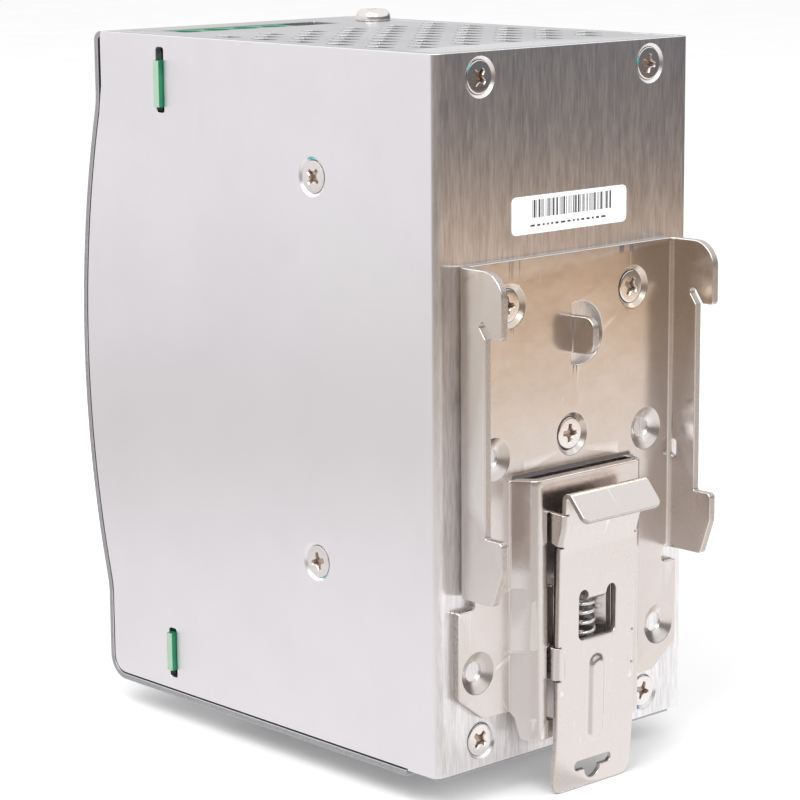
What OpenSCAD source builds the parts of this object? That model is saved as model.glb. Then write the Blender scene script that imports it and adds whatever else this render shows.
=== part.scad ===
// DIN-rail switching power supply.
// A U-shaped aluminium chassis (rear and both sides) is closed by a C-shaped perforated cover
// (top, bowed front, bottom), whose top lies between the side panels and whose bottom lies under
// them. A plated steel bracket on the rear hooks over a 35 mm top-hat rail,
// and a sprung clip that slides in the bracket's raised guide latches the rail's lower lip.
//
// Frame: +X to the right seen from the front, -Y out of the front, +Z up. The origin is the centre
// of the rail's seat. Sub-parts are drawn in the casing's own frame, where x is centred, y = 0 is
// the rear panel's outer face and z = 0 is its lower edge, and in_place() moves them to the origin.

/* [Casing] */
// Width across the side panels
body_w = 63.5; // [63:0.1:65]
// Height of the rear and side panels
body_h = 125.2; // [125.2:0.1:127]
// Depth from the flat part of the front to the rear panel
body_d = 93.5; // [93.5:0.1:95]
// How far the middle of the front bows out
bulge = 5.9; // [4:0.1:7]
// Height of the middle of the bow above the underside
bulge_mid = 64.5; // [63:0.5:66]
// Half the height of the bow
bulge_half = 49; // [46:0.5:49]
// Radius that blends the bow into the flat front
blend_r = 15; // [10:1:20]
// Thickness of the chassis sheet
chassis_t = 1.5; // [1.4:0.1:1.6]
// Outer radius of the chassis bends
chassis_bend_r = 2; // [1.8:0.1:2.2]
// Thickness of the cover sheet
cover_t = 1.1; // [1:0.1:1.2]
// Gap between the cover and the side panels
seam = 0.3; // [0.2:0.05:0.4]
// Wider gap between the cover and the side panels above the bow
upper_seam = 0.7; // [0.4:0.1:0.8]
// Outer radius of the cover's upper front bend
top_bend_r = 1.8; // [1.6:0.1:2]
// Outer radius of the cover's lower front bend
bottom_bend_r = 4.5; // [4:0.1:5]

/* [Perforations] */
// Length of a slot
vent_l = 6.8; // [6:0.1:7]
// Width of a slot
vent_w = 3.1; // [2.6:0.1:3.3]
// Distance between slots in a row
vent_pitch = 10.2; // [10:0.1:10.4]
// Distance between rows
vent_row = 5.15; // [5:0.05:5.2]

/* [Rail bracket] */
// Width of the rail that the bracket is made for
rail_h = 35; // [35:0.1:35]
// Height of the rail's centre above the underside
rail_mid = 61.3; // [61:0.1:61.5]
// Distance from the rear panel to the rail's seat
seat_y = 7.4; // [7.3:0.1:7.5]
// Thickness of the bracket sheet
bracket_t = 1.5; // [1.4:0.1:1.6]
// Half the width across the bracket's ears
ear_half = 27.2; // [27:0.1:27.5]
// Half the width of the bracket's lower flange
flange_half = 27.8; // [27.6:0.1:28]
// Reach of the ears' hooks and teeth from the rear panel
hook_reach = 11.4; // [11.2:0.1:12]
// Height of the bracket's upper edge above the underside
bracket_top = 89.4; // [89:0.1:90]
// Half the width of the raised guide's face
guide_half = 13; // [12.8:0.1:13.2]
// Height of the raised guide's face above the rear panel
guide_y = 6; // [5.9:0.1:6.1]
// Height of the raised guide's upper end above the underside
guide_top = 51.1; // [50.9:0.1:51.3]
// Height of the raised guide's lower end above the underside
guide_bottom = 4.2; // [4:0.1:4.5]

/* [Release clip] */
// Thickness of the clip's sheet
clip_t = 1; // [0.9:0.1:1]
// Half the width of the clip
clip_half = 9.8; // [9.7:0.1:9.9]
// How far the clip slides down to free the rail
clip_travel = 6.5; // [6:0.1:6.8]
// Outer diameter of the coil spring
spring_d = 5; // [4.8:0.1:5.1]
// Diameter of the spring wire
wire_d = 0.7; // [0.6:0.05:0.75]
// Number of turns of the spring
spring_turns = 8; // [7:1:8]

/* [Terminals] */
// Distance between the poles of the output block
output_pitch = 7; // [7:0.1:7.2]
// Number of poles of the output block
output_poles = 4; // [3:1:4]
// Distance between the poles of the input block
input_pitch = 9; // [8.5:0.1:9.5]
// Number of poles of the input block
input_poles = 3; // [2:1:3]
// How far a terminal screw lifts its clamp
clamp_travel = 2; // [1.5:0.1:2]

/* [Hidden] */
$fn = 48;
eps = 0.05;
in_x = body_w / 2 - chassis_t;
bulge_angle = 2 * atan(bulge / bulge_half);
bulge_r = bulge_half / sin(bulge_angle) - blend_r;

// Rear screws, bracket screws and side screws: places in the casing's frame
rear_screw_x = 21;
rear_screw_z = [5, 120.8];
bracket_screws_at = [[-15.5, 81.5], [15.5, 81.5], [0, 57]];
side_screw_y = -31;
side_screw_z = [33.4, 102.5];
board_screw_y = [-62, -12];
board_screw_z = [10, 118];
countersunk_r = 2.9;
countersink_r = 3.5;
countersunk_h = 1.1;
sunk = 0.2;
bracket_sink_r = 3.8;
bracket_sunk = 0.45;
free_hole_r = 1.85;
ear_bend_r = bracket_t + 1;
shank_r = 1.5;

// Front board, its tabs, and the slots that the tabs stick out of
board_t = 1.6;
front_board_y = -74.3;
tab_z = [[4.2, 11.6], [112, 120.6]];
side_slot_z = [[2.7, 12.4], [111, 123]];
tab_out = 0.9;

// Main board, which lies along the left panel
main_board_x = -26.6;
parts_x = main_board_x + board_t;
standoff_r = 2.8;

// Terminal blocks: distances from the casing's outer face that their screws point at
block_rear = front_board_y - eps;
block_front = -88.5;
nose_front = -93.8;
block_depth = 20;
screw_y = -79.9;
output_x = 9.25;
input_x = 0;
access_y = [-84, -75.5];

// Status light and output adjuster on the front
pilot_x = -18;
led_z = 111;
trimmer_z = 100;

// Top screw and the bracket under it
top_screw_at = [-24.3, -76.8];

// Guide and clip: windows, lugs and guide tabs
slot_in = 7.6;
slot_out = 10.7;
slot_narrow_out = 9.05;
tab_pairs = [[14.9, 20.8], [39.2, 45]];
tab_slots = [[7.7, 21], [32, 45.2]];
tab_back_y = 2.9;
tab_t = 0.9;
window_half = 4.7;
lug_half = 2.3;
lug_reach = 2.1;
spring_y = 4.3;
spring_z = [14.8, 28.1];

// ---------------------------------------------------------------- helpers

module in_place() translate([0, -seat_y, -rail_mid]) children();

// Sheet in the XZ plane, from y0 rearwards
module sheet_xz(y0, t) translate([0, y0 + t, 0]) rotate([90, 0, 0]) linear_extrude(t) children();

// Sheet in the YZ plane, from x0 to the right
module sheet_yz(x0, t) translate([x0, 0, 0]) rotate([90, 0, 90]) linear_extrude(t) children();

module block(low, high) translate(low) cube(high - low);

module both_sides() {
    children();
    mirror([1, 0, 0]) children();
}

function arc_points(cy, cz, r, from, to, steps) =
    [for (i = [0:steps]) let (a = from + (to - from) * i / steps) [cy + r * cos(a), cz + r * sin(a)]];

// The arc without its two end points, for a curve that joins others
function inner_arc(cy, cz, r, from, to, steps) =
    [for (i = [1:steps - 1]) let (a = from + (to - from) * i / steps) [cy + r * cos(a), cz + r * sin(a)]];

function reversed(list) = [for (i = [len(list) - 1:-1:0]) list[i]];

function unit(v) = v / norm(v);

// Sideways step at a point of a path, long enough to keep a strip's thickness through a corner
function side_step(path, i) =
    let (last = len(path) - 1,
         before = unit(i > 0 ? path[i] - path[i - 1] : path[1] - path[0]),
         after = unit(i < last ? path[i + 1] - path[i] : path[last] - path[last - 1]),
         middle = unit(before + after))
    [-middle.y, middle.x] / (middle * before);

// Outline of a strip of constant thickness along a path
function ribbon(path, t) = concat(
    [for (i = [0:len(path) - 1]) path[i] + side_step(path, i) * t / 2],
    [for (i = [len(path) - 1:-1:0]) path[i] - side_step(path, i) * t / 2]);

// The bow and everything below it down to the lower bend's end, moved in by inset
function lower_line(inset) = concat(
    inner_arc(-body_d - bulge + bulge_r, bulge_mid, bulge_r - inset,
              180 - bulge_angle, 180 + bulge_angle, 24),
    arc_points(-body_d - blend_r, bulge_mid - bulge_half, blend_r + inset, bulge_angle, 0, 3),
    arc_points(-body_d + bottom_bend_r, bottom_bend_r - cover_t, bottom_bend_r - inset, 180, 270, 8));

// The front from its upper bend to its lower bend, moved in by inset
function front_line(inset) = concat(
    arc_points(-body_d + top_bend_r, body_h - top_bend_r, top_bend_r - inset, 90, 180, 6),
    arc_points(-body_d - blend_r, bulge_mid + bulge_half, blend_r + inset, 0, -bulge_angle, 3),
    lower_line(inset));

// Two crossing slots of a screwdriver recess, sunk below the z = 0 plane
module cross_recess(span, width, depth) {
    translate([-span / 2, -width / 2, -depth]) cube([span, width, depth + 1]);
    translate([-width / 2, -span / 2, -depth]) cube([width, span, depth + 1]);
}

// Countersunk screw whose head lies a little below z = 0 and whose shank points down
module countersunk_screw(length) translate([0, 0, -sunk]) difference() {
    union() {
        translate([0, 0, -countersunk_h]) cylinder(h = countersunk_h, r1 = shank_r, r2 = countersunk_r);
        translate([0, 0, -length]) cylinder(h = length - countersunk_h / 2, r = shank_r);
    }
    cross_recess(3.4, 0.8, 0.9);
}

// Hole that a countersunk screw sits in, cut from z = 0 down
module countersink(depth) {
    cone_h = countersunk_h + sunk + 0.1;
    translate([0, 0, -cone_h]) cylinder(h = cone_h + eps, r1 = shank_r + eps, r2 = countersink_r);
    translate([0, 0, -depth]) cylinder(h = depth, r = shank_r + eps);
}

module facing_rear(x, y, z) translate([x, y, z]) rotate([-90, 0, 0]) children();
module facing_right(x, y, z) translate([x, y, z]) rotate([0, 90, 0]) children();
module facing_left(x, y, z) translate([x, y, z]) rotate([0, -90, 0]) children();

// ---------------------------------------------------------------- casing

// Side panel: its top is flush with the cover's, its front and bottom stop short of the cover
module side_outline() {
    corner = 7.5;
    front_y = -body_d + cover_t + upper_seam;
    polygon(concat(
        [[-chassis_bend_r, 0], [-chassis_bend_r, body_h], [front_y, body_h],
         [front_y, bulge_mid + bulge_half + 1.5]],
        lower_line(cover_t + seam),
        [[-corner, seam], [-corner, 0]]));
}

module side_panel() difference() {
    sheet_yz(in_x, chassis_t) side_outline();
    for (slot = side_slot_z)
        block([in_x - 1, front_board_y - 0.3, slot[0]],
              [body_w / 2 + 1, front_board_y + board_t + 0.3, slot[1]]);
}

module chassis_corner() {
    turn = body_w / 2 - chassis_bend_r;
    translate([turn, -chassis_bend_r, 0]) rotate_extrude(angle = 90)
        translate([chassis_bend_r - chassis_t, 0]) square([chassis_t, body_h]);
}

module chassis() color([0.82, 0.82, 0.83]) in_place() difference() {
    union() {
        both_sides() side_panel();
        both_sides() chassis_corner();
        block([-body_w / 2 + chassis_bend_r, -chassis_t, 0],
              [body_w / 2 - chassis_bend_r, 0, body_h]);
    }
    for (z = rear_screw_z, x = [-rear_screw_x, rear_screw_x])
        facing_rear(x, 0, z) countersink(4);
    for (p = bracket_screws_at) facing_rear(p.x, 0, p.y) translate([0, 0, -4]) cylinder(h = 5, r = shank_r + eps);
    for (z = side_screw_z) facing_right(body_w / 2, side_screw_y, z) countersink(4);
    for (z = board_screw_z, y = board_screw_y) facing_left(-body_w / 2, y, z) countersink(4);
}

// Long hexagonal slots in staggered rows
module vents() {
    rows = floor((body_w - 8.5) / vent_row);
    for (row = [0:rows])
        for (i = [0:4])
            translate([(row - rows / 2) * vent_row,
                       -60.5 + i * vent_pitch + (row % 2) * vent_pitch / 2])
                polygon([[0, -vent_l / 2], [vent_w / 2, -vent_l / 2 + 1.1], [vent_w / 2, vent_l / 2 - 1.1],
                         [0, vent_l / 2], [-vent_w / 2, vent_l / 2 - 1.1], [-vent_w / 2, -vent_l / 2 + 1.1]]);
}

// Opening over a block's terminal screws
module screw_access(middle, width) translate([middle - width / 2 - 0.6, access_y[0]])
    square([width + 1.2, access_y[1] - access_y[0]]);

// Flat top or bottom of the cover, from its front bend to the rear panel, narrowed at the rear corners
module cover_plate(bend_r, half) {
    corner = 7.8;
    inner = body_w / 2 - chassis_bend_r - 0.2;
    polygon([[-half, -body_d + bend_r], [half, -body_d + bend_r], [half, -corner], [inner, -corner],
             [inner, -chassis_t - eps], [-inner, -chassis_t - eps], [-inner, -corner], [-half, -corner]]);
}

module front_cover() color([0.62, 0.62, 0.63]) in_place() {
    half = body_w / 2;
    output_w = output_poles * output_pitch + 0.5;
    input_w = input_poles * input_pitch + 0.5;
    flange_back = -chassis_t - eps;
    difference() {
        sheet_yz(-half, body_w) polygon(concat(front_line(0), reversed(front_line(cover_t))));
        block([output_x - output_w / 2 - 0.3, -120, body_h - 19.9],
              [output_x + output_w / 2 + 0.3, nose_front + 10, body_h - 5.1]);
        block([input_x - input_w / 2 - 0.3, -120, 5.1 - cover_t],
              [input_x + input_w / 2 + 0.3, nose_front + 10, 19.9 - cover_t]);
        translate([pilot_x, -80, led_z]) rotate([90, 0, 0]) cylinder(h = 30, r = 1.7);
        translate([pilot_x, -80, trimmer_z]) rotate([90, 0, 0]) cylinder(h = 30, r = 2.5);
    }
    difference() {
        translate([0, 0, body_h - cover_t]) linear_extrude(cover_t) difference() {
            cover_plate(top_bend_r, in_x - 0.15);
            both_sides() translate([in_x - 0.8, -12.8]) square([1, 4.6]);
            vents();
            screw_access(output_x - 4.9, output_w + 9.2);
            translate([26.8, -86]) square([2.6, 1.2], center = true);
        }
        translate([top_screw_at.x, top_screw_at.y, body_h - 5]) cylinder(h = 6, r = 1.7);
    }
    translate([0, 0, -cover_t]) linear_extrude(cover_t) difference() {
        cover_plate(bottom_bend_r, half);
        vents();
        screw_access(input_x, input_w);
    }
    // Flanges behind the rear panel that the rear screws go into
    difference() {
        union() {
            block([-half + 4, flange_back - cover_t, body_h - 9], [half - 4, flange_back, body_h - cover_t / 2]);
            block([-half + 4, flange_back - cover_t, -cover_t / 2], [half - 4, flange_back, 9]);
        }
        for (z = rear_screw_z, x = [-rear_screw_x, rear_screw_x])
            facing_rear(x, 0, z) translate([0, 0, -4]) cylinder(h = 5, r = shank_r + eps);
    }
}

// ---------------------------------------------------------------- rail bracket

// One ear seen from the side: hook at the top, seat for the rail, tooth at the bottom
module ear_outline() {
    ear_bottom = 32;
    rail_low = rail_mid - rail_h / 2;
    rail_top = rail_mid + rail_h / 2;
    difference() {
        polygon(concat(
            [[ear_bend_r, ear_bottom], [9.2, ear_bottom], [hook_reach, ear_bottom + 6.6]],
            arc_points(hook_reach - 0.9, rail_low - 1.2, 0.9, 0, 90, 4),
            [[seat_y, rail_low - 0.3]],
            [[seat_y, rail_top - 0.7]],
            [[seat_y + 1.6, rail_top - 0.7]],
            [[hook_reach - 0.5, rail_top - 0.7], [hook_reach, rail_top - 0.2]],
            arc_points(hook_reach - 4.6, bracket_top - 4.6, 4.6, 0, 90, 8),
            [[ear_bend_r, bracket_top]]));
        // Slanted throat that the rail's upper lip tips into
        translate([seat_y + 0.75, rail_top - 0.75]) rotate(36) {
            translate([-0.75, -2]) square([1.5, 4.4]);
            translate([0, 2.4]) circle(r = 0.75, $fn = 24);
        }
    }
}

module ear() {
    translate([ear_half - bracket_t, 0, 0]) sheet_yz(0, bracket_t) ear_outline();
    translate([ear_half - ear_bend_r, ear_bend_r, 32]) rotate_extrude(angle = -90)
        translate([ear_bend_r - bracket_t, 0]) square([bracket_t, bracket_top - 32]);
}

// Flat of the bracket: upper plate between the bends, and the wider lower flange
module bracket_outline() {
    plate_half = ear_half - ear_bend_r;
    // How far the plate's edge stays below the top of the guide's face
    slit_drop = 0.3;
    difference() {
        union() {
            translate([-plate_half, 29.4]) square([2 * plate_half, bracket_top - 29.4]);
            polygon([[-flange_half, 29.4], [-flange_half, 13.8], [-21.8, 9.3], [21.8, 9.3],
                     [flange_half, 13.8], [flange_half, 29.4]]);
        }
        for (side = [-1, 1]) translate([side * 25.6, 30.7]) square([4.4, 2.6], center = true);
        foot_relief();
        translate([-guide_half - 2.4, 0]) square([2 * guide_half + 4.8, guide_top - slit_drop]);
    }
}

// Cross-section of the raised guide: two sloping walls and a flat face
function guide_path() =
    let (foot = bracket_t / 2, face = guide_y - bracket_t / 2, r = 1.6,
         half = [[guide_half + 4.2, foot], [guide_half + 2.6, foot],
                 [guide_half + 2.0, foot + 0.35], [guide_half + 0.45, face - 1.2]],
         crown = arc_points(guide_half - 1.15, face - r, r, 25, 90, 4))
    concat(half, crown, reversed([for (p = concat(half, crown)) [-p.x, p.y]]));

// What is cut away below the flange beside the guide, with a round inner corner
module foot_relief() {
    r = 1.3;
    top = 9.25;
    both_sides() {
        translate([15.7, top - r]) circle(r = r, $fn = 32);
        polygon([[13.3, 0], [14.4, top - r], [15.7, top - r], [15.7, top], [40, top], [40, 0]]);
    }
}

module raised_guide() {
    intersection() {
        translate([0, 0, guide_bottom]) linear_extrude(guide_top - guide_bottom)
            polygon(ribbon(guide_path(), bracket_t));
        // The sloping walls lose their feet below the flange, in a round corner
        sheet_xz(-1, 20) difference() {
            translate([-40, 0]) square([80, 100]);
            foot_relief();
        }
    }
    // Lug that the spring stands on, and the two sloping cheeks beside the spring
    block([-lug_half, lug_reach, spring_z[0] - bracket_t], [lug_half, guide_y - 0.3, spring_z[0]]);
    cheek_z = [21.8, 28.9];
    cheek_outline = [[5.5, 5], [6.2, 5], [6.2, 4.6], [3.7, 1.2], [3.1, 1.5]];
    both_sides() translate([0, 0, cheek_z[0]]) linear_extrude(cheek_z[1] - cheek_z[0]) polygon(cheek_outline);
}

// Round hole cut off straight where its flap is bent out
module half_moon(r, flat) intersection() {
    circle(r = r, $fn = 48);
    translate([flat - 2 * r, -r]) square([2 * r, 2 * r]);
}

module din_bracket() color([0.80, 0.76, 0.73]) in_place() {
    moon_at = [-2, 74.8];
    moon_r = 5.6;
    moon_flat = 1.9;
    flap = [1.1, 6.2, 6.6];
    difference() {
        union() {
            sheet_xz(0, bracket_t) bracket_outline();
            both_sides() ear();
            raised_guide();
        }
        for (p = bracket_screws_at) facing_rear(p.x, bracket_t, p.y) bracket_countersink();
        for (p = [[19.2, 55.2], [23.2, 17.9]], side = [-1, 1])
            facing_rear(side * p.x, bracket_t, p.y) free_countersink();
        translate([moon_at.x, 3, moon_at.y]) rotate([90, 0, 0]) linear_extrude(6)
            half_moon(moon_r, moon_flat);
        // Slots for the clip's guide tabs, and the window for the spring
        both_sides() {
            for (slot = tab_slots) block([slot_in, 2, slot[0]], [slot_out, 9, slot[1]]);
            block([slot_in, 2, 0], [slot_narrow_out, 9, tab_slots[1][0]]);
        }
        block([-window_half - 0.8, guide_y - bracket_t - 0.4, spring_z[0]],
              [window_half + 0.8, 9, spring_z[1] + 2]);
        block([-ear_half - 1, 1.5, 49.2], [-ear_half + 3, 3.2, 52.4]);
    }
    // Flap bent out of the plate, with its two free corners rounded
    translate([moon_at.x + moon_flat - flap.x + eps, 0, moon_at.y - flap.z / 2])
        sheet_yz(0, flap.x) {
            square([flap.y - 2, flap.z]);
            translate([0, 2]) square([flap.y, flap.z - 4]);
            for (z = [2, flap.z - 2]) translate([flap.y - 2, z]) circle(r = 2, $fn = 32);
        }
}

module bracket_countersink() {
    translate([0, 0, -bracket_t - eps])
        cylinder(h = bracket_t + 2 * eps, r1 = 1.9, r2 = bracket_sink_r);
}

// Empty hole of the bracket: a short straight wall under a wide cone
module free_countersink() {
    wall_h = 0.35;
    translate([0, 0, -bracket_t - 1]) cylinder(h = bracket_t + 2, r = free_hole_r);
    translate([0, 0, wall_h - bracket_t])
        cylinder(h = bracket_t - wall_h + eps, r1 = free_hole_r, r2 = bracket_sink_r);
}

// ---------------------------------------------------------------- release clip

// Side view of the clip's sheet, from its lower tongue up over the ridge and down the wing
function clip_path() = concat(
    [[6.2, -6.3], [7.1, 4], [7.75, 38.5], [8.95, 42.6]],
    [[9.25, 48.0]],
    inner_arc(10.0, 48.1, 0.72, 190, 38, 7),
    [[10.75, 48.3], [14, 44.4]]);

// Where the middle of the clip's sheet lies at a height below the ridge
function clip_y(z) = lookup(z, [for (i = [0:4]) [clip_path()[i].y, clip_path()[i].x]]);

module clip_sheet(low, half) intersection() {
    translate([-half, 0, 0]) sheet_yz(0, 2 * half) polygon(ribbon(clip_path(), clip_t));
    translate([-half, -20, low]) cube([2 * half, 60, 100]);
}

// Keyhole for a screwdriver tip
module pull_hole() {
    r = 0.9;
    for (side = [-1, 1]) translate([side * (window_half - r), -2.1]) circle(r = r, $fn = 24);
    translate([-window_half + r, -2.1 - r]) square([2 * (window_half - r), 2 * r]);
    translate([0, -3]) circle(r = 2, $fn = 24);
}

// Window over the spring: round lower corners, and a notch beside the lug at each upper corner
module spring_window() {
    low = 21.3;
    r = 1.2;
    notch_w = window_half - lug_half - 0.3;
    notch_h = 1.2;
    translate([-window_half, low + r]) square([2 * window_half, spring_z[1] - low - r]);
    translate([-window_half + r, low]) square([2 * (window_half - r), r + eps]);
    for (side = [-1, 1]) {
        translate([side * (window_half - r), low + r]) circle(r = r, $fn = 32);
        translate([side * (window_half - notch_w / 2), spring_z[1] - eps]) {
            translate([-notch_w / 2, 0]) square([notch_w, notch_h]);
            translate([0, notch_h]) circle(r = notch_w / 2, $fn = 32);
        }
    }
}

module release_clip() color([0.82, 0.79, 0.76]) in_place() {
    corner = 2.2;
    bead_r = 2.3;
    bead_z = [2.1, 18.2];
    difference() {
        clip_sheet(-10, clip_half);
        translate([0, 12, 0]) rotate([90, 0, 0]) linear_extrude(12) {
            pull_hole();
            for (side = [-1, 1]) translate([side * clip_half, -6.3]) difference() {
                square(2 * corner, center = true);
                translate([-side * corner, corner]) circle(r = corner, $fn = 32);
            }
            spring_window();
        }
    }
    // Stiffening bead
    intersection() {
        translate([0, 9.6, 0]) rotate([90, 0, 0]) linear_extrude(4) {
            translate([-bead_r, bead_z[0] + bead_r]) square([2 * bead_r, bead_z[1] - bead_z[0] - 2 * bead_r]);
            for (z = [bead_z[0] + bead_r, bead_z[1] - bead_r]) translate([0, z]) circle(r = bead_r, $fn = 32);
        }
        sheet_yz(-3, 6) polygon(ribbon([for (p = clip_path()) p + [0.6, 0]], clip_t));
    }
    // Lug that the spring pushes up on
    block([-lug_half, lug_reach, spring_z[1]], [lug_half, 7.4, spring_z[1] + clip_t]);
    // Guide tabs: down through the guide's slots and in behind its face
    both_sides() for (z = tab_pairs) {
        sheet_yz(clip_half - 0.6, tab_t) polygon(
            [[tab_back_y, z[0]], [clip_y(z[0]), z[0]], [clip_y(z[1]), z[1]], [tab_back_y, z[1]]]);
        block([slot_in - 1.4, tab_back_y, z[0]], [clip_half, tab_back_y + tab_t, z[1]]);
    }
}

// Round wire wound into a helix, its end turns lying closed
function coil_rise(turn) =
    let (closed = 1.04 * wire_d, height = spring_z[1] - spring_z[0] - wire_d - 2 * eps,
         open = (height - 2 * closed) / (spring_turns - 2))
    turn < 1 ? closed * turn
    : turn > spring_turns - 1 ? height - closed * (spring_turns - turn)
    : closed + open * (turn - 1);
function coil_point(turn, a, r) =
    let (mid_r = (spring_d - wire_d) / 2, spread = mid_r + r * cos(a))
    [spread * cos(360 * turn), spring_y + spread * sin(360 * turn),
     spring_z[0] + wire_d / 2 + eps + coil_rise(turn) + r * sin(a)];

module clip_spring() color([0.75, 0.75, 0.77]) in_place() {
    steps = 14;
    sides = 6;
    rings = spring_turns * steps;
    points = [for (i = [0:rings], k = [0:sides - 1]) coil_point(i / steps, 360 * k / sides, wire_d / 2)];
    walls = [for (i = [0:rings - 1], k = [0:sides - 1])
        let (here = i * sides, next = here + sides, m = (k + 1) % sides)
        each [[here + k, next + k, here + m], [here + m, next + k, next + m]]];
    ends = [[for (k = [0:sides - 1]) k], [for (k = [sides - 1:-1:0]) rings * sides + k]];
    polyhedron(points = points, faces = concat(walls, ends));
}

// ---------------------------------------------------------------- fasteners and label

module rear_screws() color([0.70, 0.69, 0.67]) in_place()
    for (z = rear_screw_z, x = [-rear_screw_x, rear_screw_x]) facing_rear(x, 0, z) countersunk_screw(7);

module bracket_screws() color([0.70, 0.69, 0.67]) in_place()
    for (p = bracket_screws_at) facing_rear(p.x, bracket_t, p.y) difference() {
        union() {
            translate([0, 0, -bracket_t + 0.05])
                cylinder(h = bracket_t - bracket_sunk - 0.05, r1 = 1.9, r2 = countersunk_r);
            translate([0, 0, -6]) cylinder(h = 6 - bracket_t / 2, r = shank_r);
        }
        translate([0, 0, -bracket_sunk]) cross_recess(3.4, 0.8, 0.75);
    }

module side_screws() color([0.70, 0.69, 0.67]) in_place()
    for (z = side_screw_z) facing_right(body_w / 2, side_screw_y, z) countersunk_screw(6);

module board_screws() color([0.70, 0.69, 0.67]) in_place()
    for (z = board_screw_z, y = board_screw_y) facing_left(-body_w / 2, y, z) countersunk_screw(4.5);

module top_screw() color([0.75, 0.73, 0.70]) in_place()
    translate([top_screw_at.x, top_screw_at.y, body_h]) difference() {
        union() {
            translate([0, 0, eps]) rotate_extrude() polygon(concat(
                [[0, 0], [3.5, 0], [3.5, 0.8]], inner_arc(2.2, 0.8, 1.3, 0, 90, 5), [[1.6, 2.3], [0, 2.3]]));
            translate([0, 0, -7]) cylinder(h = 7 + 2 * eps, r = shank_r);
        }
        translate([0, 0, 2.3 + eps]) cross_recess(3.6, 0.8, 1.2);
    }

module serial_label() color([0.96, 0.96, 0.96]) in_place() {
    low = [-15.1, 93.2];
    size = [28.7, 6.6];
    r = 1;
    sheet_xz(0, 0.12) {
        translate([low.x + r, low.y]) square([size.x - 2 * r, size.y]);
        translate([low.x, low.y + r]) square([size.x, size.y - 2 * r]);
        for (x = [r, size.x - r], z = [r, size.y - r])
            translate([low.x + x, low.y + z]) circle(r = r, $fn = 24);
    }
}

// ---------------------------------------------------------------- boards

module front_board() color([0.13, 0.45, 0.33]) in_place() difference() {
    sheet_xz(front_board_y, board_t) {
        translate([-29.9, 3]) square([59.8, body_h - 6]);
        for (z = tab_z) translate([-body_w / 2 - tab_out, z[0]])
            square([body_w + 2 * tab_out, z[1] - z[0]]);
    }
    // Notch for the top screw's bracket
    block([-30, front_board_y - 1, body_h - 4], [-18.6, front_board_y + 3, body_h]);
}

module front_board_bracket() color([0.72, 0.72, 0.72]) in_place() difference() {
    wall = 0.8;
    top = body_h - cover_t - eps;
    union() {
        block([-29, -83, top - 2 * wall], [-19.6, block_rear, top]);
        block([-29, block_rear - wall, top - 11], [-19.6, block_rear, top]);
    }
    translate([top_screw_at.x, top_screw_at.y, body_h - 10]) cylinder(h = 10, r = shank_r + eps);
}

module main_board() color([0.13, 0.42, 0.30]) in_place() difference() {
    sheet_yz(main_board_x, board_t)
        translate([-70.5, 4]) square([66.5, body_h - 8]);
    for (z = board_screw_z, y = board_screw_y)
        facing_left(main_board_x - 1, y, z) translate([0, 0, -4]) cylinder(h = 5, r = 1.6);
}

module insulating_sheet() color([0.92, 0.92, 0.86]) in_place() difference() {
    sheet_yz(-29.2, 0.4) translate([-71.5, 3]) square([68.5, body_h - 6]);
    for (z = board_screw_z, y = board_screw_y)
        facing_left(-29, y, z) translate([0, 0, -3]) cylinder(h = 6, r = standoff_r + 0.3);
}

module board_standoffs() color([0.78, 0.70, 0.42]) in_place()
    for (z = board_screw_z, y = board_screw_y) difference() {
        facing_right(-in_x + eps, y, z) cylinder(h = in_x + main_board_x - 2 * eps, r = standoff_r);
        facing_right(-in_x, y, z) cylinder(h = in_x + main_board_x, r = shank_r + eps);
    }

// ---------------------------------------------------------------- terminals

// One block: z = 0 is the casing's outer face that the screws point at, and the block hangs below it
module terminal_block(poles, pitch) {
    half = poles * pitch / 2 + 0.25;
    difference() {
        union() {
            block([-half, block_front, -block_depth], [half, block_rear, -cover_t - 0.15]);
            block([-half, nose_front, -block_depth + 0.2], [half, block_front + 1, -5.2]);
            block([-half, access_y[0] + 0.3, -cover_t - 1], [half, access_y[1] - 0.3, -0.15]);
        }
        for (i = [1:poles]) translate([(i - (poles + 1) / 2) * pitch, 0, 0]) {
            translate([0, screw_y, -4.2]) cylinder(h = 5, r = 2.5);
            translate([0, screw_y, -6.5]) cylinder(h = 5, r = 1.45);
            block([-2.95, screw_y - 2.7, -18.6], [2.95, screw_y + 2.7, -6]);
            block([-2.3, nose_front - 1, -16], [2.3, screw_y, -10.8]);
            block([-2.1, screw_y, -10.8], [2.1, 0, -9.8]);
        }
    }
}

// Contact bars that run through the clamps to the board
module contact_bars(poles, pitch)
    for (i = [1:poles]) translate([(i - (poles + 1) / 2) * pitch, 0, 0])
        block([-2, screw_y - 2.6, -10.7], [2, block_rear, -9.9]);

module terminal_screw() difference() {
    union() {
        translate([0, screw_y, -4]) cylinder(h = 2, r = 2.2);
        translate([0, screw_y, -9.75]) cylinder(h = 6, r = 1.3);
    }
    translate([-0.4, screw_y - 3, -2.9]) cube([0.8, 6, 2]);
}

// Rising clamp: a square ring with a threaded top
module terminal_clamp() difference() {
    block([-2.7, screw_y - 2.3, -17.3], [2.7, screw_y + 2.3, -8.3]);
    block([-2.2, screw_y - 3, -16.1], [2.2, screw_y + 3, -9.7]);
    translate([0, screw_y, -10]) cylinder(h = 3, r = 1.36);
}

module at_output(i = 0) in_place() translate(
    [output_x + (i > 0 ? (i - (output_poles + 1) / 2) * output_pitch : 0), 0, body_h]) children();

module at_input(i = 0) in_place() translate(
    [input_x + (i > 0 ? (i - (input_poles + 1) / 2) * input_pitch : 0), 0, -cover_t]) mirror([0, 0, 1]) children();

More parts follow.
